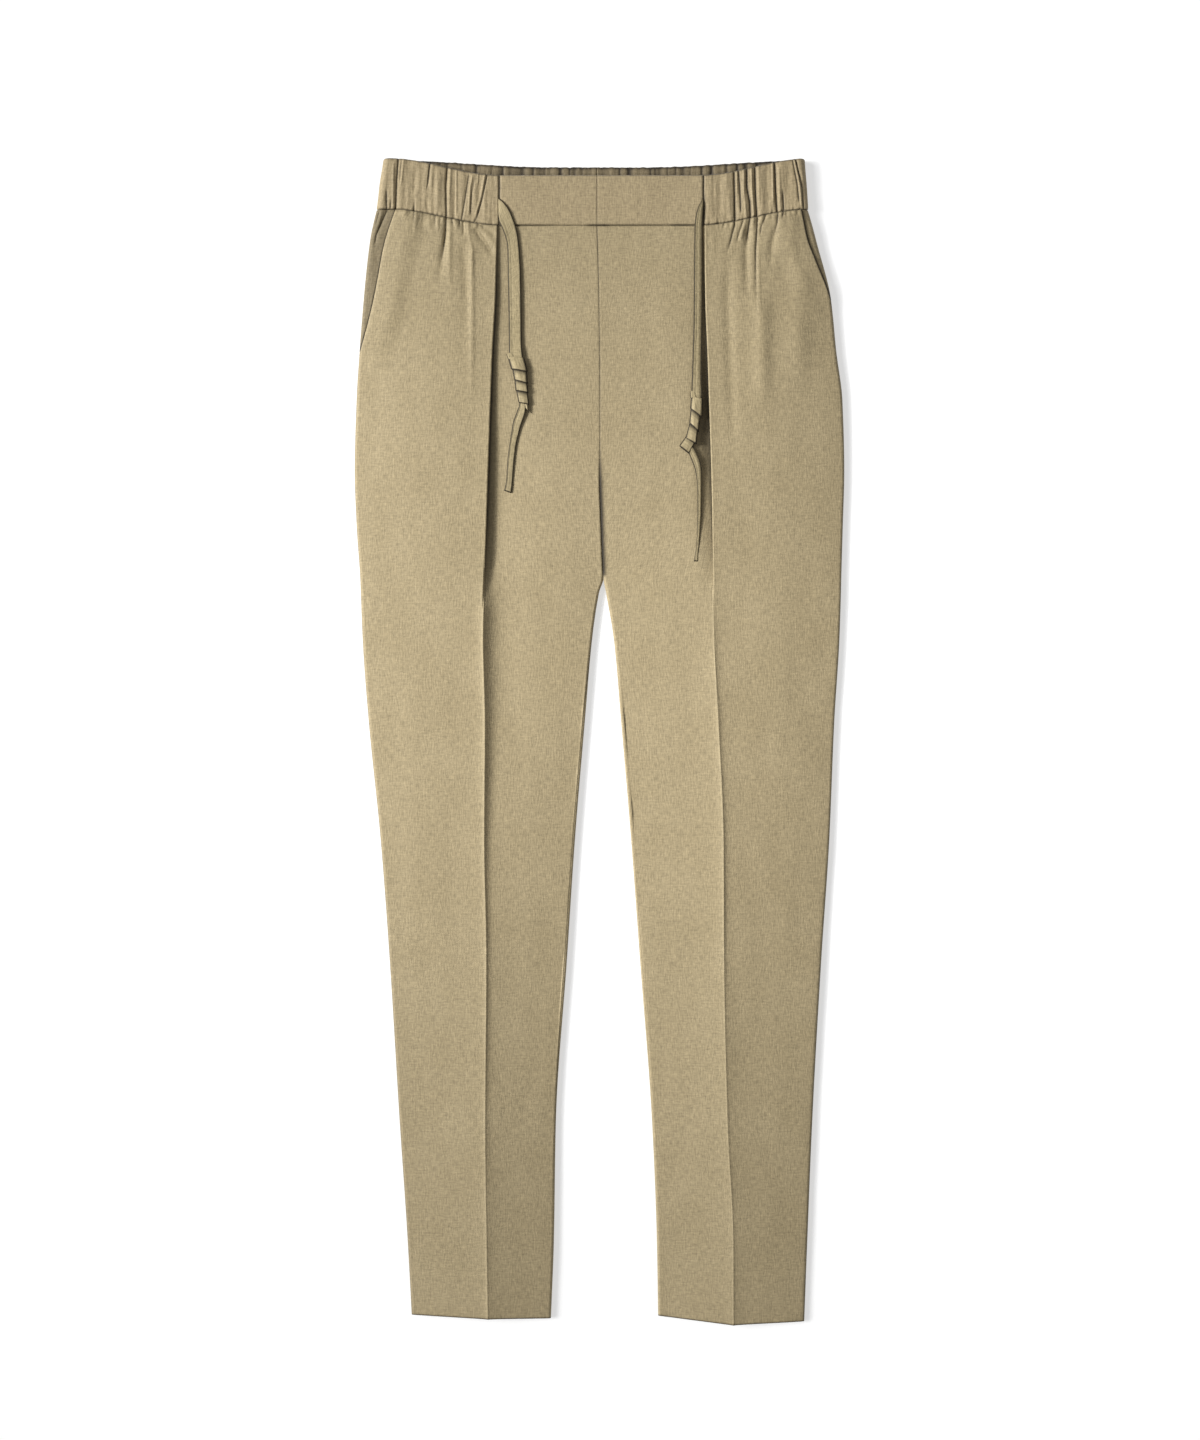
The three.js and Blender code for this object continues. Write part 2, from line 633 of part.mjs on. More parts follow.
// Flat tubes of cloth along a hand-laid route, [x, y, z] of the middle of the tube
const ROUTE = {
  right: [
    [-90.5, 472.5, 13.2],
    [-84.5, 461, 13.2],
    [-80.4, 445, 13.0],
    [-77.4, 430, 11.6],
    [-74.6, 408, 11.2],
    [-73.0, 375, 11.1],
    [-72.4, 352, 11.8],
    [-72.0, 338.5, 13.0],
  ],
  left: [
    [93.5, 474, 13.2],
    [88.0, 463, 13.2],
    [85.8, 445, 13.0],
    [85.6, 430, 11.8],
    [85.6, 400, 11.4],
    [85.4, 350, 11.2],
    [85.3, 318, 11.8],
    [85.2, 303.9, 13.0],
  ],
};
const KNOT_AXIS = {
  right: { from: [-71.7, 337.6, 13.6], to: [-66.6, 293.5, 12.9] },
  left: { from: [85.0, 302.6, 13.6], to: [74.6, 258.5, 12.8] },
};
const TAIL = {
  right: [
    [-66.4, 292.4, 12.3],
    [-67.6, 283, 11.4],
    [-71.4, 268, 10.9],
    [-76.2, 246, 10.7],
    [-79.0, 222, 10.5],
  ],
  left: [
    [76.6, 256.4, 12.2],
    [80.6, 249, 11.6],
    [85.6, 236, 11.0],
    [87.0, 214, 10.9],
    [84.2, 161, 10.0],
  ],
};

// A flat tube with rounded edges, tapered towards its end
function tape(route, steps, width, endWidth) {
  const curve = new THREE.CatmullRomCurve3(route.map((p) => new THREE.Vector3(...p)));
  const half = [TAPE.thick / 2, width / 2];
  const corner = TAPE.corner;
  const outline = [
    [half[0], -half[1] + corner],
    [half[0], half[1] - corner],
    [half[0] * 0.4, half[1]],
    [-half[0] * 0.4, half[1]],
    [-half[0], half[1] - corner],
    [-half[0], -half[1] + corner],
    [-half[0] * 0.4, -half[1]],
    [half[0] * 0.4, -half[1]],
  ];
  // The section's x axis lies on the route's first normal, which may lie flat or stand up
  const normal = curve.computeFrenetFrames(steps).normals[0];
  const flat = Math.abs(normal.x) > Math.abs(normal.z);
  const shape = new THREE.Shape(outline.map(([a, b]) => new THREE.Vector2(flat ? b : a, flat ? a : b)));
  const geometry = new THREE.ExtrudeGeometry(shape, { steps, extrudePath: curve });
  const p = geometry.attributes.position;
  const from = new THREE.Vector3(...route[0]);
  const to = new THREE.Vector3(...route[route.length - 1]);
  for (let i = 0; i < p.count && endWidth < width; i++) {
    const v = new THREE.Vector3().fromBufferAttribute(p, i);
    const u = clamp01((from.y - v.y) / (from.y - to.y));
    const centre = curve.getPoint(u);
    const k = mix(1, endWidth / width, smooth(0.3, 1, u));
    p.setX(i, centre.x + (v.x - centre.x) * k);
  }
  return geometry;
}

// A barrel knot: wraps lying one over the next along its axis, flattened where it lies
function knot(axis) {
  const from = new THREE.Vector3(...axis.from);
  const to = new THREE.Vector3(...axis.to);
  const length = from.distanceTo(to);
  const profile = [new THREE.Vector2(0, 0)];
  const radius = (t) => mix(KNOT.upper, KNOT.lower, t);
  const perWrap = 3;
  const count = KNOT.wraps * perWrap;
  for (let i = 0; i <= count; i++) {
    const t = i / count;
    const ridge = KNOT.relief * Math.abs(Math.sin((Math.PI * i) / perWrap));
    profile.push(new THREE.Vector2(radius(t) - KNOT.relief + ridge, t * length));
  }
  profile.push(new THREE.Vector2(0, length));
  const geometry = new THREE.LatheGeometry(profile, 12);
  geometry.scale(1, 1, KNOT.thick / (2 * KNOT.upper));
  const p = geometry.attributes.position;
  for (let i = 0; i < p.count; i++) {
    p.setY(i, p.getY(i) + KNOT.lean * p.getX(i) * endFade(p.getY(i), length));
  }
  const down = to.clone().sub(from).normalize();
  const up = new THREE.Vector3(0, 0, 1);
  const across = new THREE.Vector3().crossVectors(down, up).normalize();
  const frame = new THREE.Matrix4().makeBasis(across, down, new THREE.Vector3().crossVectors(across, down));
  geometry.applyMatrix4(frame.setPosition(from));
  return geometry;
}
const endFade = (y, length) => smooth(0, 6, y) * smooth(0, 6, length - y);

// The tube's end cut along the seam that it comes out of
function cordFromSlit(side) {
  const sign = side === "left" ? 1 : -1;
  const geometry = tape(ROUTE[side], 22, TAPE.width, TAPE.width);
  const edge = sign * (BAND_SEAM[side] + 0.9);
  const far = sign * (BAND_SEAM[side] + 30);
  return cut(geometry, box([Math.min(edge, far), 440, 0], [Math.max(edge, far), 500, 30]));
}

const CLOTH = { color: 0xab9d7c, roughness: 0.6, metalness: 0 };
const material = (name, changes = {}) => {
  const made = new THREE.MeshStandardMaterial({ ...CLOTH, ...changes, side: THREE.DoubleSide });
  made.name = name;
  return made;
};
const crepe = () => material("satin_crepe");
const bandCloth = () => material("satin_crepe_waistband", { color: 0xa39473 });
const cordCloth = () => material("satin_crepe_cord", { color: 0x8d7f61, roughness: 0.5 });

const trousers = new THREE.Group();
trousers.name = "pleated_pull_on_trousers";
function addPiece(name, geometry, cloth) {
  const mesh = new THREE.Mesh(geometry, cloth);
  mesh.name = name;
  trousers.add(mesh);
}

for (const side of ["right", "left"]) {
  addPiece(`front_${side}`, legWall(side, frontSection, frontEnds, seamRise), crepe());
  addPiece(`back_${side}`, legWall(side, backSection, backEnds, backSeamRise), crepe());
  addPiece(`pocket_facing_${side}`, facingWall(side), crepe());
  addPiece(`waistband_front_${side}`, flatBand(side), bandCloth());
  addPiece(`waistband_elastic_${side}`, withSlit(side, elasticBand(side)), bandCloth());
  addPiece(`drawstring_${side}`, cordFromSlit(side), cordCloth());
  addPiece(`drawstring_knot_${side}`, knot(KNOT_AXIS[side]), cordCloth());
  addPiece(`drawstring_tail_${side}`, tape(TAIL[side], 14, TAPE.tail, TAPE.tailEnd), cordCloth());
}

export default trousers;
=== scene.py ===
# Pull-on pleated trousers laid flat with the front up: the cloth, seams, folds and drawstrings.
import json
import math

import bpy
import numpy as np
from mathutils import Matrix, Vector, noise

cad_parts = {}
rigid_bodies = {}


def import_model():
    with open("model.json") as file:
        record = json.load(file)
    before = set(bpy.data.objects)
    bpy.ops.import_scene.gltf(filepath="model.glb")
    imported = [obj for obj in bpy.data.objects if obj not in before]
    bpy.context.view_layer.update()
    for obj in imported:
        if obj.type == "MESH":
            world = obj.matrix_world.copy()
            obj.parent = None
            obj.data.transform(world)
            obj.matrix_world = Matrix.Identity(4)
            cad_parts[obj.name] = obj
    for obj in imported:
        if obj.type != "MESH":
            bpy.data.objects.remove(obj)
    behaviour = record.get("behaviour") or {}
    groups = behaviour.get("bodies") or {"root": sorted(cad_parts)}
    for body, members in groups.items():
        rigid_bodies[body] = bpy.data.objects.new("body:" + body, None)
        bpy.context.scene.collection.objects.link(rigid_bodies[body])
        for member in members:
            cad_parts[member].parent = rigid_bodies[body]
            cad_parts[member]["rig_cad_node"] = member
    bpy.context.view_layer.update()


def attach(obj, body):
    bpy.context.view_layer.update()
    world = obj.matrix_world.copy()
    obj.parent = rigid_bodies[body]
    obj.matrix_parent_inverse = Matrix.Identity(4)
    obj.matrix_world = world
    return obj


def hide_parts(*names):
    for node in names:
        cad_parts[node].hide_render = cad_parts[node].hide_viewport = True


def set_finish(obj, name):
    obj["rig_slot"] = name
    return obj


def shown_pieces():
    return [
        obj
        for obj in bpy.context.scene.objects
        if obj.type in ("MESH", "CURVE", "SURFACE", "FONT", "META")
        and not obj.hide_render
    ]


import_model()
bpy.ops.object.select_all(action="DESELECT")

MM = 0.001
PHOTO_SIZE = (1200, 1440)
PHOTO_MM = 0.875  # millimetres to a pixel of the photograph, on the surface
PHOTO_ZERO = (599.5, 743.5)  # its pixel at x = 0, y = 0


def to_photo(x, y):
    return PHOTO_ZERO[0] + x / PHOTO_MM, PHOTO_ZERO[1] - y / PHOTO_MM


def from_photo(px, py):
    return (px - PHOTO_ZERO[0]) * PHOTO_MM, (PHOTO_ZERO[1] - py) * PHOTO_MM


# The camera looks straight down, as in the photograph
camera_x, camera_y = from_photo(PHOTO_SIZE[0] / 2, PHOTO_SIZE[1] / 2)
CAMERA_HEIGHT = 2.1
SENSOR = 36
camera_data = bpy.data.cameras.new("camera")
camera_data.sensor_width = SENSOR
camera_data.lens = SENSOR * CAMERA_HEIGHT / (PHOTO_SIZE[1] * PHOTO_MM * MM)
camera = bpy.data.objects.new("camera", camera_data)
camera.location = (camera_x * MM, camera_y * MM, CAMERA_HEIGHT)
bpy.context.scene.collection.objects.link(camera)
bpy.context.scene.camera = camera


# Shapes shared with the part's source, in millimetres. d is a distance outwards from the middle.
WALL = 1.2  # a solid's wall
CLOTH = 0.8  # one layer of crepe, drawn thick enough to hold its edge
HALF = CLOTH / 2
SET_IN = (WALL - CLOTH) / 2  # from the solid's face to the cloth's
SEAM = 0.3  # gap between two sewn pieces
FOLD_SEAM = 0.4  # the same where the seam lies on a round fold
CROTCH = 145
HEM_NOMINAL = -503  # the hem of the tables, before its slant
HEM_FADE = 70  # the hem's slant has gone this far up
HEM_DEPTH = 34  # turned-up hem
HEM_EXTRA = 0.8  # what its second layer adds inside
BAND_WALL = 2.6
BAND_BOTTOM = 451.1  # waist seam at the middle of the front
BAND_HEIGHT = 43.5
BAND_GAP = 0.45  # between the legs and the band
BAND_RISE = {"bottom": 14, "top": 15.1, "from": 86, "to": 184}  # the climb towards the sides
BACK_RISE = {"bottom": 8.5, "top": 9, "from": 40}  # how much higher the back lies at the middle
BAND_FRONT_Z = 10.5
BAND_FOLD = 4.3  # radius of the band's side fold
BAND_OUTER = {"right": (194.5, 188.4), "left": (182.5, 178.9)}  # its side, at the seam and the top
BAND_SEAM = {"right": 87.1, "left": 90.6}  # between its plain and its gathered part
BAND_EDGE = 1.3  # how far in from its edges the band is rounded
FACING_TUCK = 15  # how far the facing runs on behind the front
PLEAT_CLOSES = (112, 164)  # heights between which the pleat runs out into the pressed crease
CENTRE_TIGHT = (225, 262)  # the centre seam gapes below the first height, and is tight above the second
HIDDEN_CORE = 0.9  # share of the band's half thickness that leaves room for its gathers
# Each table goes from the waist down by height, y. First where the two halves meet
CENTRE = {"y": (451, 385, 300, 238, 190, 145), "x": (-2.2, -0.4, 0.4, 0.4, 1.8, 3.5)}
LEG_Y = (451, 427, 385, 342, 300, 238, 190, 145, 132, 90, 20, -84, -189, -330, -434, -503)
OUTLINE = {
    "right": {
        "y": LEG_Y,
        "outer": (194.7, 200.4, 206, 209.6, 212.2, 213.9, 212.2, 209.1, 208.6, 206.9, 201.7,
                  191.2, 183.3, 174.6, 167.6, 164.1),
        "crease": (88.8, 89.5, 90.6, 93, 94.6, 96.8, 98.4, 100.2, 100.6, 101.6, 99.9,
                   100.5, 98.6, 99.5, 98.2, 97.1),
        "inner": (-3.5, -3.5, -3.5, -3.5, -3.5, -3.5, -3.5, -3.5, 0.4, 6.6, 12.7,
                  21.4, 28.4, 38.1, 39.8, 42.4),
    },
    "left": {
        "y": LEG_Y,
        "outer": (182, 189.4, 202.3, 206.9, 212.2, 213.9, 212.6, 211.3, 211, 209.6, 205.2,
                  200.8, 193.8, 185.9, 181.6, 178.9),
        "crease": (91.4, 91.5, 92, 93.8, 95.2, 97.2, 98.2, 98.8, 99, 99.8, 103.4,
                   107.8, 108.3, 111.4, 116.3, 116.5),
        "inner": (3.5, 3.5, 3.5, 3.5, 3.5, 3.5, 3.5, 3.5, 5.7, 12.7, 18.8,
                  27.6, 35.4, 45.9, 50.1, 51.2),
    },
}
# A leg's section: radius of the side fold, height of the top layer at the crease, the degrees it
# turns there, the cloth it laps, and how far the inseam rolls round its fold, in degrees
SECTION = {
    "y": (451, 385, 300, 238, 165, 145, 112, 60, 20, -189, -330, -503),
    "fold": (4.2, 3.2, 2.6, 2.3, 2.2, 2.2, 2.2, 2.2, 2.2, 2.2, 2.2, 2.2),
    "top": (12.2, 12.6, 12.6, 12.4, 12, 11.8, 11.6, 11.4, 11.3, 11, 10.9, 10.8),
    "turn": (180, 180, 180, 180, 165, 120, 52, 15, 8, 6, 6, 6),
    "lap": (15, 12, 9, 6, 3.5, 3, 4.5, 14, 24, 26, 24, 22),
    "roll": (0, 0, 0, 0, 0, 0, 5, 40, 70, 75, 30, 0),
}
# The pleat's lap and the step at its folded edge both run out above the crotch
PLEAT = {
    "y": (451, 385, 300, 238, 200, 175, 152, 135),
    "lap": (15, 12, 9, 6, 3.2, 1.4, 0.5, 0.1),
    "ply": (0.9, 1.6, 1.6, 1.6, 1.4, 1.1, 0.7, 0.3),
}
# Height of the front beside the centre seam
MIDDLE = {"y": (451, 385, 300, 238, 190, 165, 152), "z": (10.4, 9.8, 9.0, 8.2, 6.9, 5.8, 5.2)}
# Beside the folded edge, or the pressed crease below it, the inner layer dips by "depth" over
# "reach" and comes up again over "back"
DIP = {
    "right": {"y": (451, 330, 265, 195, 143, 90, 55, 20, -16, -67, -137, -225, -312, -400, -503),
              "depth": (0, 0.8, 2.4, 3.9, 4.9, 4.6, 3.8, 2.9, 2.3, 1.7, 1.2, 1.0, 0.6, 0.2, 0.2),
              "reach": (4, 4, 4, 6, 8.5, 8, 7.5, 6, 4.6, 3.4, 2.2, 2, 2, 2, 2),
              "back": (40, 40, 42, 45, 45, 45, 45, 40, 35, 30, 30, 30, 30, 30, 30)},
    "left": {"y": (451, 390, 330, 265, 195, 150, 110, -503),
             "depth": (0, 0.8, 2.0, 2.8, 2.4, 1.0, 0, 0),
             "reach": (4, 4, 4, 4, 4, 4, 4, 4),
             "back": (8, 8, 9, 9, 9, 8, 8, 8)},
}
# How much flatter than the solid the creased layer lies
SINK = {
    "right": {"y": (451, 300, 238, 165, 112, 60, -16, -150, -280, -400, -503),
              "by": (0, 0, 0.6, 1.5, 2.2, 2.4, 2.3, 1.6, 1.0, 0.2, 0)},
    "left": {"y": (451, 238, 165, 112, 60, -50, -150, -503), "by": (0, 0, 0.7, 1.3, 1.1, 0.6, 0, 0)},
}
# How the layer falls from the crease to the centre or inseam: 1 is even, more is flat at the crease
FALL = {"y": (451, 300, 145, 60, -150, -503), "power": (1.1, 1.2, 1.1, 1.0, 1.0, 1.0)}
# The front's slanted edge at the pocket
POCKET = {
    "right": {"y": (451, 422, 400, 382, 342), "d": (177.2, 187.7, 192.9, 197.3, 208.4)},
    "left": {"y": (451, 428, 413, 393, 385), "d": (175.4, 180.7, 187.7, 198, 201.1)},
}
# The hem's two ends and its point at the crease. These and the left leg's inner edge beside them
# follow the photograph a little closer than the solids do
HEM = {
    "right": {"outer": -498.6, "crease": -501.0, "inner": -501.7},
    "left": {"outer": -504.4, "crease": -506.2, "inner": -499.5},
}


def smooth(start, stop, value):
    t = np.clip((value - start) / (stop - start), 0, 1)
    return t * t * (3 - 2 * t)


def mix(a, b, t):
    return a + (b - a) * t


def bell(offset, width):
    """A soft hump of height 1 at offset 0."""
    return np.exp(-((offset / width) ** 2))


def fade(offset, width):
    """A sharp crest of height 1 at offset 0, which falls off on both sides."""
    return np.exp(-np.abs(offset) / width)


def at(table, column, y):
    """One column of a table at height y, on a curve that never overshoots its rows."""
    ys = np.array(table["y"][::-1], float)
    vs = np.array(table[column][::-1], float)
    slope = np.diff(vs) / np.diff(ys)
    before, after = slope[:-1], slope[1:]
    together = before * after > 0
    harmonic = 2 * before * after / np.where(together, before + after, 1)
    tangent = np.concatenate([slope[:1], np.where(together, harmonic, 0), slope[-1:]])
    y = np.clip(y, ys[0], ys[-1])
    i = np.clip(np.searchsorted(ys, y, side="right") - 1, 0, len(ys) - 2)
    span = ys[i + 1] - ys[i]
    t = (y - ys[i]) / span
    return (
        (2 * t**3 - 3 * t**2 + 1) * vs[i]
        + (t**3 - 2 * t**2 + t) * span * tangent[i]
        + (3 * t**2 - 2 * t**3) * vs[i + 1]
        + (t**3 - t**2) * span * tangent[i + 1]
    )


def sign_of(side):
    return 1 if side == "left" else -1


def centre_edge(side, y):
    return sign_of(side) * at(CENTRE, "x", y) + SEAM / 2


def front_rise(d, edge="bottom"):
    return BAND_RISE[edge] * smooth(BAND_RISE["from"], BAND_RISE["to"], d)


def back_rise(d, edge="bottom"):
    return mix(BACK_RISE[edge], BAND_RISE[edge], smooth(BACK_RISE["from"], BAND_RISE["to"], d))


def row_shift(side, y, d, rise):
    """How far a row moves at distance d: the waist seam's climb above, the hem's slant below."""
    waist = rise(d) * smooth(364, BAND_BOTTOM, y)
    outer, crease, inner = (at(OUTLINE[side], c, y) for c in ("outer", "crease", "inner"))
    hem = HEM[side]
    out = mix(hem["crease"], hem["outer"], (d - crease) / (outer - crease))
    inn = mix(hem["crease"], hem["inner"], (crease - d) / (crease - inner))
    low = np.where(d > crease, out, inn)
    return waist + (low - HEM_NOMINAL) * (1 - smooth(HEM_NOMINAL, HEM_NOMINAL + HEM_FADE, y))


def outer_fold(side, y):
    radius = at(SECTION, "fold", y) + SET_IN
    return radius, at(OUTLINE[side], "outer", y) - HALF - radius, HALF + radius


def inner_fold(side, y):
    radius = at(SECTION, "fold", CROTCH) + SET_IN
    return radius, at(OUTLINE[side], "inner", y) + HALF + radius, HALF + radius


def shelf(side, y):
    """Where the top layer stops climbing and runs level to the pleat's folded edge."""
    level = (at(SECTION, "lap", y) + 5) * smooth(20, 120, at(SECTION, "turn", y))
    return at(OUTLINE[side], "crease", y) + level, at(SECTION, "top", y) + SET_IN


def closed_share(y):
    """1 where the pleat is folded over, 0 below it, where only the pressed crease is left."""
    return smooth(*PLEAT_CLOSES, y)


def dip(side, d, y):
    """How far the inner layer lies below the crease's layer, at distance d and height y."""
    depth, reach, back = (at(DIP[side], column, y) for column in ("depth", "reach", "back"))
    away = np.maximum(0, at(OUTLINE[side], "crease", y) - d)
    down = mix(1 - np.exp(-((away / reach) ** 1.4)), 1, closed_share(y))
    return depth * down * bell(away, back)


# Creases placed on the photograph: kind, height in millimetres (a trough is below 0), width, share of the
# length that fades in and out, and the line it follows, in its pixels.
BAND_GATHERS = [
    ("crisp", -1.5, 1.1, 0, 0, [(399.5, 160), (398, 181), (396.6, 216)]),
    ("crisp", -0.6, 0.8, 0, 0.3, [(402.4, 163), (400.4, 186)]),
    ("soft", 0.5, 1.3, 0, 0.2, [(404.5, 163), (402, 190)]),
    ("soft", 0.5, 1.1, 0.1, 0, [(394.6, 163), (393.8, 212)]),
    ("crisp", -1.1, 1.0, 0.3, 0, [(387.4, 190), (388, 216)]),
    ("crisp", -0.9, 0.9, 0.3, 0, [(392.2, 200), (391, 216)]),
    ("crisp", -1.2, 1.0, 0, 0.4, [(431.5, 160), (429.5, 180), (427.2, 197)]),
    ("soft", 0.5, 1.8, 0, 0.3, [(434.4, 164), (431.8, 196)]),
    ("crisp", -1.8, 1.2, 0, 0, [(448.8, 160), (446.8, 188), (447.3, 224)]),
    ("soft", 0.5, 1.6, 0, 0, [(451.8, 168), (450, 195), (450.2, 222)]),
    ("soft", 0.6, 0.9, 0.1, 0.1, [(457.3, 170), (456.9, 221)]),
    ("crisp", -0.8, 0.9, 0.1, 0, [(470, 175), (465, 207.4), (461.7, 226)]),
    ("soft", 0.6, 0.9, 0.1, 0.1, [(474, 176), (471, 190), (469.3, 218)]),
    ("crisp", -0.6, 0.8, 0.2, 0.1, [(476.2, 178), (472.7, 195), (470.9, 220)]),
    ("soft", 0.5, 0.9, 0.1, 0.4, [(479.2, 174), (477.9, 191)]),
    ("soft", 0.7, 0.9, 0.05, 0.1, [(486.4, 174), (481.3, 200.7), (476, 220)]),
    ("crisp", -0.8, 0.9, 0.1, 0, [(488.6, 174), (483.2, 201), (477.4, 220), (474, 226)]),
    ("crisp", -0.7, 0.8, 0.5, 0, [(415, 200), (415.2, 219)]),
    ("soft", -0.5, 1.6, 0.3, 0.3, [(427, 202), (428.4, 214)]),
    ("soft", -0.5, 2.2, 0.2, 0.2, [(417, 168), (415.5, 196)]),
    ("soft", 0.5, 3.0, 0.2, 0.2, [(440, 170), (439, 215)]),
    ("crisp", -1.7, 1.5, 0, 0, [(733.2, 166), (733.9, 196), (734.4, 224)]),
    ("soft", 0.6, 0.9, 0, 0.2, [(735.8, 169), (736.4, 200)]),
    ("crisp", -1.0, 1.2, 0, 0.1, [(737.6, 170), (739.4, 193), (740.2, 217)]),
    ("soft", 0.5, 1.2, 0, 0, [(742.8, 168), (743.2, 195), (745.2, 217)]),
    ("crisp", -1.7, 1.7, 0, 0, [(746.1, 165), (746.3, 190), (749.2, 205), (749.9, 222)]),
    ("soft", 0.6, 1.0, 0, 0, [(750.4, 165), (751, 190), (753.2, 218)]),
    ("crisp", -1.6, 1.5, 0, 0, [(754, 164), (754.8, 196), (756.4, 222)]),
    ("soft", 0.5, 1.5, 0, 0.1, [(757.8, 168), (758.4, 205)]),
    ("soft", 0.6, 0.9, 0, 0.1, [(771.6, 164), (772.4, 206)]),
    ("crisp", -1.6, 1.4, 0, 0, [(773.9, 162), (774.7, 191), (776.4, 215)]),
    ("soft", 0.5, 1.4, 0.1, 0.1, [(778, 168), (779, 207)]),
    ("crisp", -1.1, 1.1, 0.3, 0, [(781.8, 192), (783.2, 216)]),
    ("crisp", -1.1, 0.9, 0, 0.1, [(791.1, 160), (796.1, 185.7), (798.3, 206)]),
    ("soft", 0.7, 0.9, 0, 0, [(792.6, 160), (798.7, 188), (800.5, 208)]),
    ("crisp", -1.4, 1.0, 0, 0, [(794.2, 160), (801.3, 190.8), (802.5, 211)]),
    ("soft", -0.4, 3.0, 0.3, 0, [(786, 170), (787, 208)]),
    ("soft", -0.4, 4.0, 0.2, 0.2, [(718, 178), (720, 222)]),
    ("soft", 0.4, 3.0, 0.2, 0.2, [(727, 176), (727.6, 220)]),
    ("soft", -0.4, 3.0, 0.2, 0.2, [(765, 168), (765.6, 212)]),
]
# These run over the right pocket's facing too
FACING_FOLDS = [
    ("crisp", -1.6, 1.6, 0, 0.2, [(388, 213), (382, 226), (377.4, 236), (375.5, 249)]),
    ("soft", 0.5, 1.2, 0.1, 0.2, [(384.6, 205), (379.5, 228), (375, 240)]),
    ("crisp", -0.9, 0.9, 0.2, 0.2, [(380.5, 212), (376.5, 228)]),
]
LEG_FOLDS = [
    ("crisp", -1.6, 1.4, 0, 0.5, [(447.3, 218), (446.5, 236), (444.4, 253), (441, 268)]),
    ("soft", -0.9, 3.2, 0, 0.6, [(446.5, 232), (443, 262), (439, 292)]),
    ("soft", 0.7, 2.2, 0.1, 0.7, [(451, 221), (450.6, 245), (450, 305)]),
    ("soft", 0.7, 1.5, 0.1, 0.6, [(438.7, 219), (439, 238)]),
    ("soft", 0.7, 1.5, 0, 0.7, [(416.7, 216), (416, 243)]),
    ("soft", -0.5, 2.5, 0, 0.6, [(424, 217), (423, 241)]),
    ("soft", 0.5, 2.0, 0, 0.6, [(430.5, 217), (430, 236)]),
    ("soft", 0.7, 1.5, 0, 0.6, [(455.5, 222), (458.8, 234)]),
    ("soft", -0.9, 1.6, 0, 0.5, [(464.2, 223), (464.5, 242)]),
    ("crisp", 0.7, 1.6, 0, 0.4, [(468.6, 223), (470.3, 241), (472.9, 251), (472.6, 290)]),
    ("soft", 0.6, 2.6, 0.1, 0.5, [(472.6, 245), (472.9, 300), (472.5, 420)]),
    ("soft", -0.7, 4.5, 0.1, 0.6, [(464, 243), (466.5, 290), (466, 345)]),
    ("soft", -1.1, 3.2, 0.1, 0.3, [(474, 230), (485, 243), (490, 251), (494.5, 262)]),
    ("soft", -0.8, 2.2, 0.2, 0.2, [(481, 228.5), (496, 237.5)]),
    ("soft", 0.3, 1.8, 0.3, 0.4, [(484, 235), (495, 247)]),
    ("crisp", -1.4, 1.3, 0, 0.5, [(734.4, 218), (733.9, 228), (729.8, 244), (724.7, 261)]),
    ("soft", -0.9, 5.5, 0.2, 0.6, [(729, 245), (727, 300), (731, 400), (735, 495)]),
    ("crisp", -1.0, 0.9, 0.1, 0.3, [(743, 222), (737.4, 237.8), (735.6, 247)]),
    ("soft", 0.8, 1.3, 0.1, 0.2, [(745.2, 221), (741.4, 235), (739.2, 245)]),
    ("crisp", -1.4, 1.6, 0, 0.5, [(749.9, 216), (747.1, 235), (745.1, 253)]),
    ("soft", -1.1, 3.5, 0.1, 0.5, [(748, 228), (745.3, 252), (745.8, 285), (746, 305)]),
    ("soft", 0.8, 1.2, 0, 0.5, [(752.8, 217), (751.5, 233)]),
    ("crisp", -1.5, 1.1, 0, 0.75, [(756.6, 215), (756.3, 230), (755.3, 246), (754.8, 256), (754.9, 322)]),
    ("crisp", 0.45, 1.5, 0.2, 0.4, [(758, 246), (757.5, 256), (758.3, 300), (758.8, 336)]),
    ("soft", 1.3, 8.0, 0.2, 0.4, [(761, 290), (762, 420)]),
    ("soft", 1.3, 12.0, 0.2, 0.4, [(798, 262), (798, 400)]),
    ("soft", 0.7, 1.6, 0.1, 0.4, [(762, 216), (760, 229)]),
    ("crisp", -0.9, 0.9, 0.1, 0.2, [(767.2, 214), (760.9, 227.6), (758.7, 239)]),
    ("crisp", -1.3, 1.3, 0, 0.5, [(777.4, 209), (776.2, 225.5), (772.7, 239)]),
    ("soft", -0.8, 3.2, 0.2, 0.6, [(775, 228), (770.6, 250), (769, 278)]),
    ("crisp", -0.8, 0.9, 0, 0.4, [(783.6, 209), (780.8, 223)]),
    ("soft", 0.6, 1.1, 0, 0.4, [(781, 210), (779, 222)]),
    ("soft", 0.5, 4.0, 0.2, 0.5, [(790, 214), (789, 260)]),
    ("soft", 0.5, 3.0, 0.2, 0.5, [(713, 232), (712, 275)]),
    # Short troughs right under the band
    *[("crisp", height, 0.9, 0, 0.6, line) for height, line in [
        (-0.8, [(415.4, 215), (415.2, 227)]),
        (-0.7, [(421, 216), (420.2, 226)]),
        (-0.8, [(436.2, 218), (436, 229)]),
        (-0.8, [(452.8, 221), (454.5, 231)]),
        (-0.9, [(460, 222), (461.6, 233)]),
        (-0.7, [(478, 225), (486, 232)]),
        (-0.7, [(722, 223), (724.5, 231)]),
        (-0.8, [(764.6, 214), (763.6, 224)]),
    ]],
    *FACING_FOLDS,
]


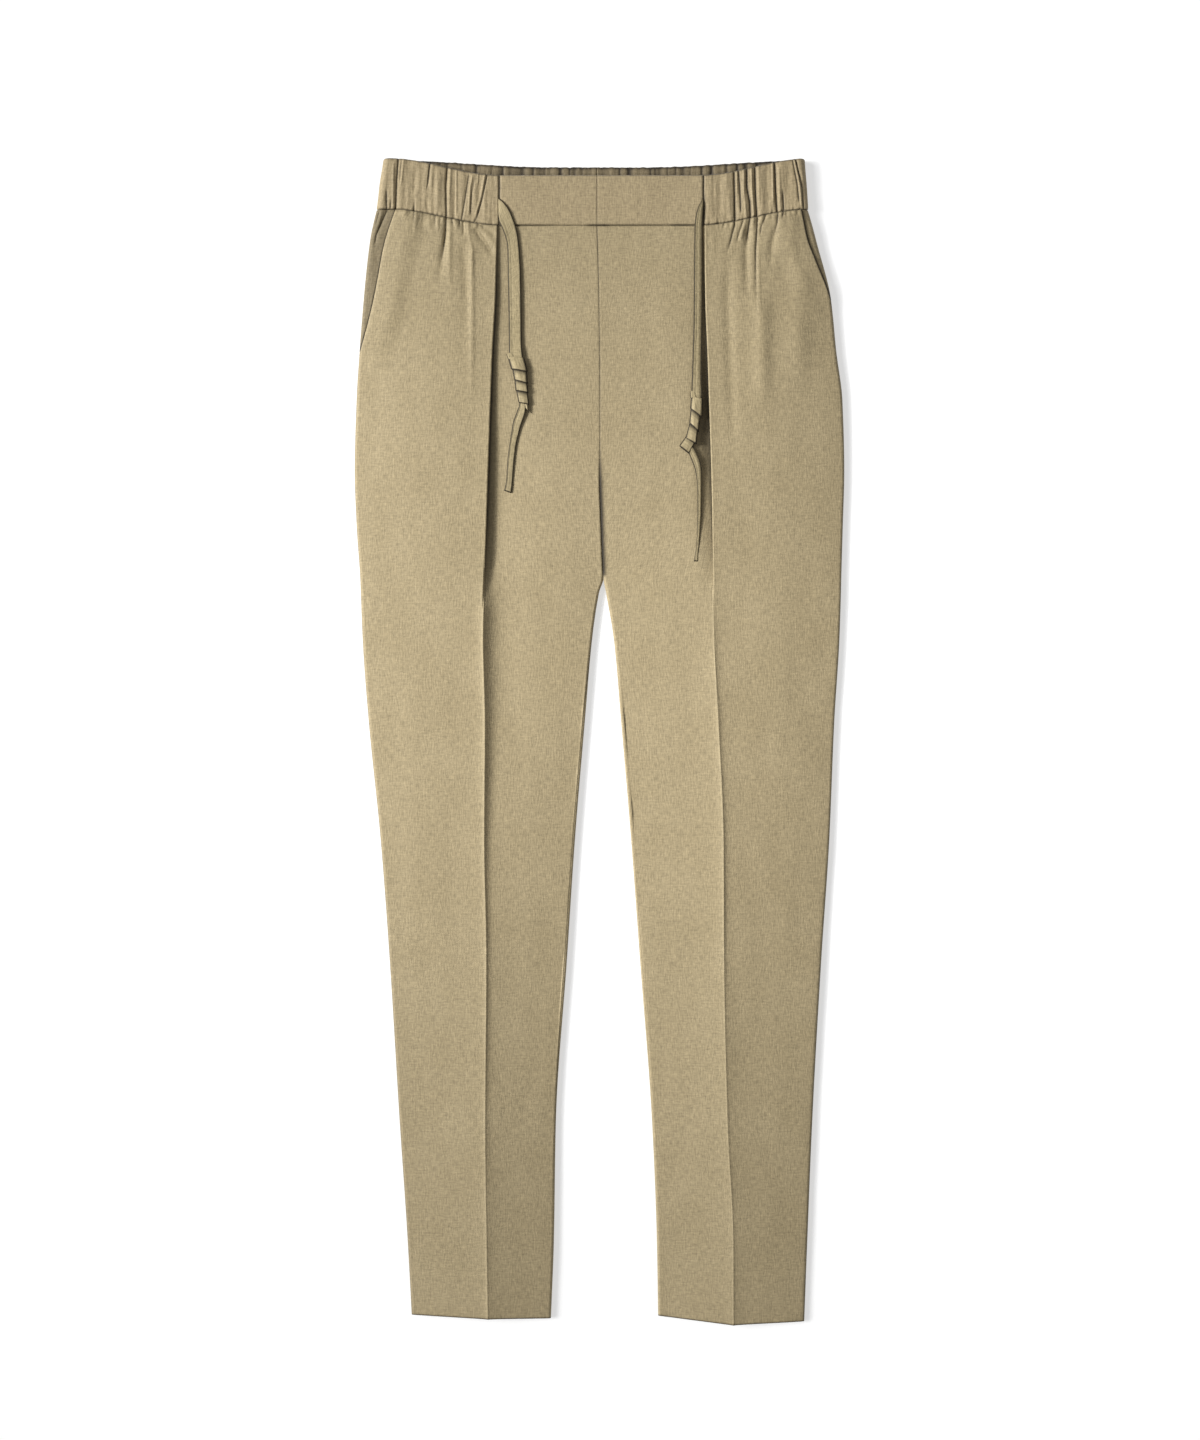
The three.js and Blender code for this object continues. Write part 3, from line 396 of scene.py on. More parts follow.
def to_line(px, py, line):
    """Distance from a line of points, and the share along it."""
    best = np.full(np.shape(px), np.inf)
    share = np.zeros_like(best)
    lengths = [math.dist(a, b) for a, b in zip(line, line[1:])]
    done = 0
    for (x0, y0), (x1, y1), length in zip(line, line[1:], lengths):
        ux, uy = (x1 - x0) / length, (y1 - y0) / length
        s = np.clip((px - x0) * ux + (py - y0) * uy, 0, length)
        ex, ey = px - x0 - s * ux, py - y0 - s * uy
        far = np.hypot(ex, ey)
        closer = far < best
        best = np.where(closer, far, best)
        share = np.where(closer, (done + s) / sum(lengths), share)
        done += length
    return best, share


def ends_fade(share, fade_in, fade_out):
    """1 along a crease, and less towards the ends that fade."""
    shown = smooth(0, fade_in, share) if fade_in else 1
    return shown * (1 - smooth(1 - fade_out, 1, share)) if fade_out else shown


CREASE_GAIN = 1.2  # all creases are this much higher than their tables say
DARK_TROUGH = 0.95  # a sharp trough of this depth holds no light


def crease_height(x, y, creases):
    """Height of the cloth over a list of creases, at x and y in millimetres."""
    px, py = to_photo(x, y)
    total = np.zeros(np.shape(x))
    for kind, height, width, fade_in, fade_out, line in creases:
        far, share = to_line(px, py, line)
        shape = bell(far, width) if kind == "soft" else fade(far, width / 1.25)
        total += CREASE_GAIN * height * shape * ends_fade(share, fade_in, fade_out)
    return total


def trough_painted_shade(x, y, creases):
    """Painted shade in the sharp troughs of a list of creases, from 0 to 1, by how closed they are."""
    px, py = to_photo(x, y)
    total = np.zeros(np.shape(x))
    for kind, height, width, fade_in, fade_out, line in creases:
        if kind == "crisp" and height < 0:
            far, share = to_line(px, py, line)
            shape = np.exp(-((far / (0.62 * width)) ** 1.6)) * ends_fade(share, fade_in, fade_out)
            total = np.maximum(total, shape * min(1, -height / DARK_TROUGH))
    return total


def uneven(x, y, size_x, size_y, seed):
    """Smooth unevenness from -1 to 1 with humps of about those sizes, in millimetres."""
    points = np.stack([x / size_x, y / size_y, np.full(np.shape(x), seed * 7.31)], -1)
    flat = [noise.noise(Vector(p)) for p in points.reshape(-1, 3)]
    return np.array(flat).reshape(np.shape(x)) * 1.6


# Meshes of cloth
def grid_shell(name, grid, outside, inside, up, deep=0, painted_shade_inside=0):
    """A closed layer round a grid of points, with its thickness outside and inside the grid, and with the
    painted shade of its outer and inner points, from 0 to 1."""
    rows, cols, _ = grid.shape
    along = np.gradient(grid, axis=0)
    across = np.gradient(grid, axis=1)
    normal = np.cross(across, along)
    normal /= np.linalg.norm(normal, axis=2, keepdims=True)
    middle = normal[rows // 2, cols // 4, 2]
    if (middle > 0) != up:
        normal = -normal
    outer = grid + normal * np.broadcast_to(outside, (rows, cols))[..., None]
    inner = grid - normal * np.broadcast_to(inside, (rows, cols))[..., None]
    # The grid's edge, once round, with the points next to it. A rim is set a little out from there
    index = np.arange(rows * cols).reshape(rows, cols)
    ring = np.concatenate([index[0], index[1:, -1], index[-1, -2::-1], index[-2:0:-1, 0]])
    flat = grid.reshape(-1, 3)
    inward = np.concatenate([index[1], index[1:, -2], index[-2, -2::-1], index[-2:0:-1, 1]])
    edge = flat[ring] - flat[inward]
    edge /= np.maximum(np.linalg.norm(edge, axis=1, keepdims=True), 1e-9)
    rim = (outer.reshape(-1, 3)[ring] + inner.reshape(-1, 3)[ring]) / 2 + edge * HALF * 0.6
    count = rows * cols
    quads = np.stack([index[:-1, :-1], index[:-1, 1:], index[1:, 1:], index[1:, :-1]], -1)
    quads = quads.reshape(-1, 4)
    ring_next = np.roll(ring, -1)
    here = 2 * count + np.arange(len(ring))
    there = np.roll(here, -1)
    faces = np.concatenate([
        quads,
        quads[:, ::-1] + count,
        np.stack([ring_next, ring, here, there], -1),
        np.stack([ring + count, ring_next + count, there, here], -1),
    ])
    points = np.concatenate([outer.reshape(-1, 3), inner.reshape(-1, 3), rim]) * MM
    a, b, c, d = (points[faces[:, k]] for k in range(4))
    volume = np.einsum("ij,ij->", a, np.cross(b, c)) + np.einsum("ij,ij->", a, np.cross(c, d))
    if volume < 0:
        faces = faces[:, ::-1]
    step_u = np.linalg.norm(np.diff(grid, axis=1), axis=2)
    step_v = np.linalg.norm(np.diff(grid, axis=0), axis=2)
    u = np.concatenate([np.zeros((rows, 1)), np.cumsum(step_u, axis=1)], axis=1)
    u -= u[:, cols // 2][:, None]
    v = np.concatenate([[0], np.cumsum(step_v[:, cols // 2])])
    uv = np.stack([u, np.broadcast_to(v[:, None], u.shape)], -1).reshape(-1, 2) * MM
    uv = np.concatenate([uv, uv, uv[ring]])
    made = mesh_object(name, points, faces.tolist(), uv)
    on_outer, on_inner = (np.broadcast_to(v, (rows, cols)).ravel() for v in (deep, painted_shade_inside))
    store_painted_shade(made, np.concatenate([on_outer, on_inner, np.maximum(on_outer, on_inner)[ring]]))
    return made


def store_painted_shade(made, depths):
    """Stores each point's painted shade, from 0 to 1, by which the material darkens the colour."""
    attribute = made.data.attributes.new("painted_shade", "FLOAT", "POINT")
    attribute.data.foreach_set("value", np.asarray(depths).astype(np.float32))


def mesh_object(name, points, faces, uv):
    """A smooth mesh, with each point's place along and across its cloth in metres."""
    mesh = bpy.data.meshes.new(name)
    mesh.from_pydata(np.asarray(points).tolist(), [], faces)
    mesh.polygons.foreach_set("use_smooth", [True] * len(mesh.polygons))
    loops = np.zeros(len(mesh.loops), int)
    mesh.loops.foreach_get("vertex_index", loops)
    layer = mesh.uv_layers.new(name="cloth")
    layer.data.foreach_set("uv", uv[loops].astype(np.float32).ravel())
    mesh.update()
    made = bpy.data.objects.new(name, mesh)
    bpy.context.scene.collection.objects.link(made)
    return made


def spread(first, middle, last, start, stop):
    """Stations from start to stop, with fixed small steps at both ends and even ones between."""
    first, last = np.array(first, float), np.array(last, float)
    ends = first[-1] + last[-1]
    room = stop - start
    scale = np.minimum(1, 0.8 * room / ends)
    share = (np.arange(1, middle + 1)) / (middle + 1)
    low = start + first * scale
    high = stop - last[::-1] * scale
    between = mix(low[:, -1:], high[:, :1], share)
    return np.concatenate([low, between, high], axis=1)


# Distances of a panel's first points from its edge, then the heights of a leg's rows of points
NEAR = [0, 0.35, 0.8, 1.4, 2.1, 2.9, 3.8, 4.8, 6, 7.5]
LEG_ROWS = np.concatenate([
    [451, 450.5, 449.9, 449.1, 448.1],
    np.arange(446.8, 400, -1.5),
    np.arange(400, 340, -2.6),
    np.arange(340, 155, -6.5),
    np.arange(155, 132, -2),
    np.arange(132, -462, -7.5),
    [-466, -469, -474, -479, -484, -489, -493, -496, -498.3, -499.8, -501, -501.9, -502.5, -503],
])


def front_grid(side):
    """Points of a front leg, row by row, from its side or pocket edge to the centre or inseam, with each
    point's painted shade in seams, folds and along its outlines."""
    # From the side fold, or from the pocket's edge above it, over the top layer to the crease
    y = LEG_ROWS[:, None].astype(float)
    pocket_end = POCKET[side]["y"][-1]
    radius, fold_d, fold_z = outer_fold(side, y)
    crease = at(OUTLINE[side], "crease", y)
    top = at(SECTION, "top", y) + SET_IN - at(SINK[side], "by", y)
    lap, ply = at(PLEAT, "lap", y), at(PLEAT, "ply", y)
    closed = closed_share(y)
    bend = ply / 2
    quarter = radius * math.pi / 2
    pocket_d = at(POCKET[side], "d", y)
    on_arc = radius * np.arccos(np.clip((pocket_d - fold_d) / radius, -1, 1))
    open_start = np.where(pocket_d > fold_d, on_arc, quarter + fold_d - pocket_d)
    start = mix(FOLD_SEAM / 2, open_start, smooth(pocket_end - 16, pocket_end, y))
    edge_d = mix(crease + 0.9, crease + HALF + bend, closed)
    stop = quarter + fold_d - edge_d - 0.3
    s = spread(NEAR, 96, NEAR, start, stop)
    angle = np.minimum(s / radius, math.pi / 2)
    on_top = np.maximum(s - quarter, 0)
    d_top = fold_d + radius * np.cos(angle) - on_top
    level = crease + (lap + 5) * smooth(120, 200, y)
    t = np.clip((fold_d - d_top) / (fold_d - level), 0, 1)
    t = np.where(on_top > 0, t, 0)
    high = smooth(-250, 60, y)
    climb = mix(t, 1 - (1 - t) ** 2.2, 0.8 * high)
    z_top = fold_z + radius * np.sin(angle) + (top - fold_z - radius) * climb
    z_top = z_top + mix(0.5, 0.8, smooth(238, 385, y)) * np.sin(math.pi * t)
    # The front rises a little where it lies on the facing
    inside = pocket_d - FACING_TUCK
    near_side = mix(smooth(0, 12, fold_d - d_top), 1, smooth(pocket_end - 12, pocket_end + 6, y))
    lift = smooth(pocket_end - 26, pocket_end, y) + smooth(pocket_end, pocket_end + 26, y)
    z_top = z_top + 0.9 * lift * (1 - smooth(0, 18, inside - d_top)) * near_side

    # Round the pleat's folded edge, back under it by its lap, and round again. Below the pleat
    # these points lie flat beside the crease
    c_d, c_z = crease + HALF + bend, top - bend
    turn = np.linspace(0, math.pi, 8)[None, :]
    d_over, z_over = c_d - bend * np.sin(turn), c_z + bend * np.cos(turn)
    run = np.linspace(0, 1, 8)[None, 1:-1]
    d_lap, z_lap = c_d + lap * run, top - ply + 0 * run
    d_under = c_d + lap + bend * np.sin(turn)
    z_under = top - ply - bend + bend * np.cos(turn)
    d_fold = np.concatenate([d_over, d_lap, d_under], axis=1)
    z_fold = np.concatenate([z_over, z_lap, z_under], axis=1)
    n_fold = d_fold.shape[1]
    spacing = np.linspace(0, 1, n_fold)[None, :]
    d_fold = mix(crease + 0.7 - 2.6 * spacing, d_fold, closed)
    z_fold = mix(top + 0 * spacing, z_fold, closed)
    from_d, from_z = d_fold[:, -1:], z_fold[:, -1:]

    # The inner layer, to the centre seam above the crotch and round the inseam below it
    above = smooth(CROTCH - 4, CROTCH + 4, y)
    r_in, in_d, in_z = inner_fold(side, y)
    end = centre_edge(side, y)
    middle = at(MIDDLE, "z", y)
    tuck_to = crease - 2.2
    lead = np.linspace(0, 1, 7)[None, 1:]
    d_lead, z_lead = mix(from_d, tuck_to, lead), from_z + 0 * lead
    stop_d = mix(in_d, end + 3.6, above)
    stop_z = mix(in_z + r_in, middle, above)
    across = np.linspace(0, 1, 52)[None, 1:]
    d_in = mix(tuck_to, stop_d, across)
    z_in = mix(from_z, stop_z, across ** at(FALL, "power", y))
    gap = FOLD_SEAM / 2 if side == "right" else 0.05
    roll = np.radians(at(SECTION, "roll", y)) + gap / r_in
    down = np.linspace(0, 1, 9)[None, 1:]
    a = mix(math.pi / 2, roll, down)
    d_end = mix(in_d - r_in * np.cos(a), end + 3.6 * (1 - down), above)
    z_end = mix(in_z + r_in * np.sin(a), middle + 0 * down, above)

    under = smooth(0.45, 0.75, spacing)
    z_fold = z_fold - mix(dip(side, d_fold, y), at(DIP[side], "depth", y) * under, closed)
    z_lead = z_lead - dip(side, d_lead, y)
    z_in = z_in - dip(side, d_in, y)
    d = np.concatenate([d_top, d_fold, d_lead, d_in, d_end], axis=1)
    z = np.concatenate([z_top, z_fold, z_lead, z_in, z_end], axis=1)
    # The relief fades where the cloth turns under or is inside the pleat
    n_top = d_top.shape[1]
    shows = np.ones_like(d)
    shows[:, :n_top] = smooth(0, 0.7, s / quarter)
    shows[:, n_top + 3 : n_top + n_fold] = 1 - closed
    beyond = slice(n_top + n_fold, d.shape[1])
    shows[:, beyond] = 1 - closed * smooth(crease - 0.8, crease + 0.8, d[:, beyond])
    shows[:, -8:] *= mix(1 - down * 0.7, 1, above)

    y_all = y + row_shift(side, y, d, front_rise)
    x = sign_of(side) * d
    z = z + shows * front_relief(side, x, y_all, d, y, crease, closed)
    # The hem's edge is rounded, with a faint line above it
    hem = smooth(HEM_NOMINAL + 2.6, HEM_NOMINAL, y)
    z = z - 0.45 * hem * shows - 0.12 * bell(y - HEM_NOMINAL - 3.4, 0.9) * shows
    deep = front_painted_shade(side, x, y_all, d, y, crease, closed, n_top + n_fold)
    return np.stack([x, y_all, z], -1), deep


# How dark the waist seam's painted shade is along the plain part of the band, against the photograph's
# pixels. The same values set how far the seam pulls the cloth down
SEAM_PLACES = (498, 512, 518, 540, 552, 560, 584, 590, 604, 609, 612, 640, 668, 674, 690, 696, 706)
SEAM_DEPTH_AND_SHADE = (0.8, 0.8, 0.6, 0.45, 0.25, 0.03, 0.03, 0.7, 0.8, 0.6, 0.45, 0.45, 0.35, 0.8, 0.7, 0.5, 0.8)


def waist_seam(x):
    return np.interp(to_photo(x, 0)[0], SEAM_PLACES, SEAM_DEPTH_AND_SHADE)


def front_painted_shade(side, x, y, d, row, crease, closed, first_under):
    """Painted shade of each point of a front, from 0 to 1, in seams, folds and the pleat's corner and along
    its outlines.
    """
    # Painted shade in the troughs of the leg's folds and along the waist seam
    deep = trough_painted_shade(x, y, LEG_FOLDS)
    deep = np.maximum(deep, waist_seam(x) * bell(BAND_BOTTOM - row, 0.8))
    # Painted shade in the pleat's corner, which is wide and soft on the left leg
    step = closed * at(PLEAT, "ply", row) / 1.6 * smooth(462, 432, row)
    away = np.maximum(0, crease - d)
    beside = step * fade(away, 1.9)
    if side == "left":
        reach = np.interp(row, (150, 195, 230, 248, 262, 320, 360), (1.2, 2.2, 4.5, 8, 11.5, 9, 2))
        pleat_recess_painted_shade = np.interp(row, (150, 195, 230, 262, 320, 400), (0.1, 0.4, 0.6, 0.72, 0.7, 0.3))
        beside = np.maximum(beside, pleat_recess_painted_shade * np.exp(-((away / reach) ** 3)))
    deep[:, first_under:] = np.maximum(deep, beside)[:, first_under:]
    # Painted shade along the centre seam, the right inseam and the left pocket's edge
    above = smooth(CROTCH - 2, CROTCH + 4, row)
    seam = above * mix(1.0, 0.5, smooth(*CENTRE_TIGHT, row))
    wide = mix(1.0 if side == "right" else 2.4, 0.55, smooth(*CENTRE_TIGHT, row))
    deep = np.maximum(deep, seam * bell(d - centre_edge(side, row), wide))
    inner = np.zeros_like(d)
    inner[:, -1] = 1
    inner[:, -2] = 0.6
    if side == "right":
        deep = np.maximum(deep, inner * (1 - above) * smooth(-420, -250, row))
    end = POCKET[side]["y"][-1]
    slot = smooth(end - 4, end + 8, row)
    if side == "left":
        deep = np.maximum(deep, 0.7 * slot * bell(at(POCKET[side], "d", row) - d, 0.7))
    # A thin painted-shade outline where the cloth turns under at the side and at the hem
    outer = at(OUTLINE[side], "outer", row) - d
    rim = 0.35 * smooth(1.6, 0.5, outer) * (1 - slot) + 0.12 * smooth(6, 1, outer) * smooth(0, -250, row)
    hem = 0.85 * smooth(HEM_NOMINAL + 1.4, HEM_NOMINAL + 0.6, row)
    return np.maximum(deep, np.maximum(rim, hem))


def front_relief(side, x, y, d, row, crease, closed):
    """What the pressed crease, the folds and the seams add to a front's height."""
    # The pressed crease is a broad ridge with a steeper one on it
    off = d - crease
    pressed = 1 - closed
    lower = smooth(60, -200, row)
    z = pressed * (mix(0.35, 1.1, lower) * fade(off, 11))
    if side == "right":
        z = z + pressed * 1.25 * (1 - lower) * fade(off, np.where(off > 0, 5.5, 3.2))
    else:
        side_rise = fade(off, np.where(off < 0, 4, 1.8))
        z = z + 0.75 * smooth(120, 60, row) * smooth(-230, -130, row) * side_rise
    # The pressed edge is sharp towards the light and rounder on its far side
    far_side = off < 0 if side == "right" else off > 0
    z = z + pressed * mix(0.45, 0.5, lower) * fade(off, np.where(far_side, mix(3.2, 1.2, lower), 1.1))
    z = z + closed * 0.35 * fade(np.maximum(off, 0), 2.2) * (off > -0.5)
    z = z + crease_height(x, y, LEG_FOLDS)
    # The right pocket's edge is pressed down at the waist
    if side == "right":
        z = z - 0.8 * smooth(340, 350, row) * fade(np.maximum(0, at(POCKET[side], "d", row) - d), 1.1)
    # Cloth is never quite flat, and less so towards the elastic
    z = z + 0.30 * uneven(x, y, 46, 120, 1 + (side == "left"))
    z = z + 0.16 * uneven(x, y, 17, 38, 3 + (side == "left"))
    z = z + 0.30 * uneven(x, y, 7, 26, 5) * smooth(392, 448, row) * (off > 6)
    # The waist seam pulls the cloth down, and it swells and ripples beside the stitches
    to_seam = BAND_BOTTOM - row
    z = z - mix(0.2, 0.9, waist_seam(x)) * bell(to_seam, 0.9)
    z = z + 0.3 * bell(to_seam - 2.8, 1.6)
    ripple = uneven(x, y, 2.6, 30, 6) * bell(to_seam - 2.2, 2.4)
    z = z + 0.6 * ripple * smooth(98, 104, d)
    # So does the centre seam
    above = smooth(CROTCH - 2, CROTCH + 6, row)
    deep = mix(0.9 if side == "right" else 0.15, 0.15, smooth(*CENTRE_TIGHT, row))
    return z - above * deep * bell(d - centre_edge(side, row), 0.9)


def back_grid(side):
    """Points of a back leg, from the centre or inseam, flat on the surface, to the side seam."""
    every_second = LEG_ROWS[::2]
    y = np.append(every_second[every_second > HEM_NOMINAL], HEM_NOMINAL)[:, None].astype(float)
    radius, outer_d, outer_z = outer_fold(side, y)
    r_in, in_d, in_z = inner_fold(side, y)
    above = smooth(CROTCH - 4, CROTCH + 4, y)
    end = centre_edge(side, y)
    turn_in = np.linspace(0, 1, 9)[None, :]
    roll = np.radians(at(SECTION, "roll", y)) - FOLD_SEAM / 2 / r_in
    a = mix(roll, -math.pi / 2, turn_in)
    d_in = mix(in_d - r_in * np.cos(a), end + 4 * turn_in, above)
    z_in = mix(in_z + r_in * np.sin(a), HALF + 0 * turn_in, above)
    share = np.linspace(0, 1, 74)[None, 1:-1]
    d_flat = mix(d_in[:, -1:], outer_d, share)
    z_flat = HALF + 0 * d_flat
    a = mix(-math.pi / 2, -FOLD_SEAM / 2 / radius, np.linspace(0, 1, 10)[None, :])
    d_out = outer_d + radius * np.cos(a)
    z_out = outer_z + radius * np.sin(a)
    d = np.concatenate([d_in, d_flat, d_out], axis=1)
    z = np.concatenate([z_in, z_flat, z_out], axis=1)
    y_all = y + row_shift(side, y, d, back_rise)
    x = sign_of(side) * d
    flat = smooth(6, 20, d - d_in[:, -1:]) * smooth(6, 20, outer_d - d)
    lift = 0.5 * np.maximum(0, uneven(x, y_all, 30, 90, 11)) * flat
    off = d - at(OUTLINE[side], "crease", y)
    lift = lift + 0.35 * fade(off, 2.5) * smooth(170, 40, y)
    lift = lift + 0.8 * np.maximum(0, uneven(x, y_all, 5, 60, 12)) * smooth(395, 440, y) * flat
    seam = above * 0.5 * bell(d - end, 1.2)
    return np.stack([x, y_all, z + lift + seam], -1)


def facing_grid(side):
    """The pocket facing, from the side seam to where it is hidden behind the front."""
    end = POCKET[side]["y"][-1]
    y = np.append(LEG_ROWS[LEG_ROWS > end + 1], end + SEAM)[:, None].astype(float)
    radius, fold_d, fold_z = outer_fold(side, y)
    shelf_d, shelf_z = shelf(side, y)
    quarter = radius * math.pi / 2
    to = at(POCKET[side], "d", y) - FACING_TUCK
    s = mix(FOLD_SEAM / 2, quarter + fold_d - to, np.linspace(0, 1, 44)[None, :])
    angle = np.minimum(s / radius, math.pi / 2)
    on_top = np.maximum(s - quarter, 0)
    d = fold_d + radius * np.cos(angle) - on_top
    t = np.clip(on_top / (fold_d - shelf_d), 0, 1)
    z = fold_z + radius * np.sin(angle)
    z = z + (shelf_z - fold_z - radius) * t + 0.8 * np.sin(math.pi * t)
    y_all = y + row_shift(side, y, d, front_rise)
    x = sign_of(side) * d
    shows = smooth(0, 0.7, s / quarter) * smooth(-4, 2, d - at(POCKET[side], "d", y))
    folds = crease_height(x, y_all, FACING_FOLDS)
    z = z + shows * (folds + 0.25 * uneven(x, y_all, 5, 20, 8))
    z = z - 0.9 * bell(BAND_BOTTOM - y, 1.4)
    deep = trough_painted_shade(x, y_all, FACING_FOLDS)
    # Painted shade where it goes under the front, and over the whole right facing, which lies in the shade
    # of the front's edge
    under = d - at(POCKET[side], "d", y)
    shade = 0.42 if side == "right" else 0.0
    deep = np.maximum(deep, mix(shade, 1, smooth(2.0, 0.6, under)))
    return np.stack([x, y_all, z], -1), deep


# Shares of the band's width at which its rows of points lie
BAND_SHARES = np.array([0, 0.012, 0.03, 0.055, 0.09, 0.13, *np.linspace(0.18, 0.86, 15),
                        0.91, 0.945, 0.97, 0.986, 0.995, 1.0])


def band_y(d, t, on_back):
    """Height of the band's cloth at distance d and share t of its width, front or back."""
    bottom, top = (mix(front_rise(d, edge), back_rise(d, edge), on_back) for edge in ("bottom", "top"))
    return BAND_BOTTOM + BAND_GAP + mix(bottom, BAND_HEIGHT - BAND_GAP + top, t)


def rounded(t):
    """Share of the band's half thickness left towards its top and bottom edges."""
    near = np.minimum(t, 1 - t) * BAND_HEIGHT
    return np.sqrt(np.clip(1 - (1 - np.clip(near / BAND_EDGE, 0, 1)) ** 2, 0.12, 1))


def elastic_band(side):
    """The gathered band, from the front seam over the side fold to the centre back."""
    t = BAND_SHARES[:, None]
    seam = BAND_SEAM[side] + SEAM / 2
    half = BAND_WALL / 2
    bottom, top = BAND_OUTER[side]
    fold_d = mix(bottom, top, t) - half - BAND_FOLD
    fold_top = half + 2 * BAND_FOLD
    on_front = np.linspace(0, 1, 215)[None, :]
    turn = np.linspace(math.pi / 2, -math.pi / 2, 18)[None, 1:-1]
    on_back = np.linspace(0, 1, 190)[None, :]
    end = centre_edge(side, BAND_BOTTOM)
    d_front = mix(seam, fold_d, on_front)
    d_turn = fold_d + BAND_FOLD * np.cos(turn)
    d_back = mix(fold_d, end, on_back)
    z_front = mix(BAND_FRONT_Z, fold_top, on_front) + 0 * t
    z_turn = half + BAND_FOLD + BAND_FOLD * np.sin(turn) + 0 * t
    z_back = half + 0 * on_back + 0 * t
    d = np.concatenate([d_front, d_turn, d_back], axis=1)
    z = np.concatenate([z_front, z_turn, z_back], axis=1)
    n_front, n_turn = d_front.shape[1], d_turn.shape[1]
    back_share = np.zeros_like(d)
    back_share[:, n_front : n_front + n_turn] = np.linspace(0, 1, n_turn + 2)[1:-1]
    back_share[:, n_front + n_turn :] = 1
    y = band_y(d, t, back_share)
    x = sign_of(side) * d
    front = 1 - back_share
    seed = 21 if side == "right" else 31
    height = crease_height(x, y, BAND_GATHERS)
    height = height + 0.35 * uneven(x, y, 5.5, 60, seed) + 0.2 * uneven(x, y, 2.6, 26, seed + 1)
    # The gathers start beside the seam, and show less clearly on the inner face
    away = smooth(0, 3.5, d - seam) * front
    fold_waves = 0.7 * uneven(z * 1.6, y, 4, 24, seed + 2) * np.sin(math.pi * back_share)
    out = height * away + fold_waves
    out = out - 0.9 * bell(d - seam, 0.9) * front
    pucker = bell(t * BAND_HEIGHT, 2.6) * front * away
    out = out + 0.5 * pucker * uneven(x, y, 2.3, 30, seed + 3)
    ruffle = back_gathers(x, y, seed) * back_share
    inside = ruffle - 0.4 * height * away
    y = y + 0.35 * uneven(x, 0 * y, 4, 30, seed + 5) * back_share * smooth(0.8, 1, t)
    round_off = rounded(t)
    # Painted shade in the gathers' troughs, at the front seam and along the band's top and bottom edges
    deep = trough_painted_shade(x, y, BAND_GATHERS) * front
    deep = np.maximum(deep, 0.9 * bell(d - seam, 0.7) * front)
    # The slit that the tape comes out of is painted dark as shade too
    slit = smooth(0.08, 0.12, t) * (1 - smooth(0.56, 0.6, t))
    deep = np.maximum(deep, slit * bell(d - seam, 1.1) * front)
    at_bottom = bell(t * BAND_HEIGHT, 0.8)
    at_top = bell((1 - t) * BAND_HEIGHT, 0.9)
    deep = np.maximum(deep, np.maximum(0.6 * at_bottom, 0.75 * at_top) * front)
    # The inside of the back band shows above the front's edge, which shades it: its shade is painted,
    # darker near that edge, at its own top edge and in its gathers' troughs
    above_front = y - band_y(d, 1, 0)
    shade = 0.35 + 0.5 * fade(np.maximum(above_front, 0), 2.2) + 0.5 * smooth(3, 0.6, (1 - t) * BAND_HEIGHT)
    inner_painted_shade = np.clip(shade - 0.9 * np.minimum(ruffle, 0), 0, 1) * back_share
    return grid_shell(
        f"waistband_elastic_{side}_cloth",
        np.stack([x, y, z], -1),
        round_off * half * HIDDEN_CORE + out * (1 - 0.5 * back_share),
        round_off * half * HIDDEN_CORE + inside,
        True,
        deep,
        inner_painted_shade,
    )


# Where the back band's gathers lie, in the photograph's pixels
BACK_GATHERS = (503, 533, 536.5, 545, 561, 570, 586, 619, 629, 651, 655.5, 667, 675, 690, 702,
                712, 726, 736.5, 779, 425, 441, 462, 476, 491, 757)


def back_gathers(x, y, seed):
    """Gathers on the inner face of the back band, which shows above the front's edge."""
    px = to_photo(x, y)[0]
    folds = np.zeros_like(x)
    for k, place in enumerate(BACK_GATHERS):
        lean = 0.03 * math.sin(5.1 * k) * (y - 480)
        width = 1.0 + 0.3 * math.sin(3.3 * k)
        folds -= (0.75 + 0.25 * math.sin(2.7 * k)) * fade(px - place + lean, width)
    return folds + 0.5 * uneven(x, y, 5, 50, seed + 4)


def flat_band(side):
    """The plain front part of the band, from the front seam to the centre."""
    t = BAND_SHARES[:, None]
    start = BAND_SEAM[side] - SEAM / 2
    end = centre_edge(side, BAND_BOTTOM)
    d = spread([0, 0.3, 0.7, 1.2, 1.8, 2.6], 44, [0, 0.3, 0.7, 1.2, 1.8, 2.6],
               -start + 0 * t, -end + 0 * t) * -1
    y = band_y(d, t, 0)
    x = sign_of(side) * d
    z = BAND_FRONT_Z + 0 * x
    out = 0.22 * uneven(x, y, 26, 40, 41) + 0.1 * uneven(x, y, 8, 16, 42)
    out = out - 0.8 * bell(start - d, 0.9)
    centre = d - end
    out = out - 0.12 * bell(centre, 0.7)
    round_off = rounded(t)
    half = BAND_WALL / 2 * HIDDEN_CORE
    # Painted shade at the front seam, the centre, the waist seam and the top edge
    deep = 0.85 * bell(start - d, 0.7)
    deep = np.maximum(deep, 0.3 * bell(centre, 0.5))
    deep = np.maximum(deep, waist_seam(x) * bell(t * BAND_HEIGHT, 0.7))
    deep = np.maximum(deep, 0.5 * bell((1 - t) * BAND_HEIGHT, 0.7))
    return grid_shell(
        f"waistband_front_{side}_cloth",
        np.stack([x, y, z], -1),
        round_off * half + 0.12 + out,
        round_off * half,
        True,
        deep,
    )


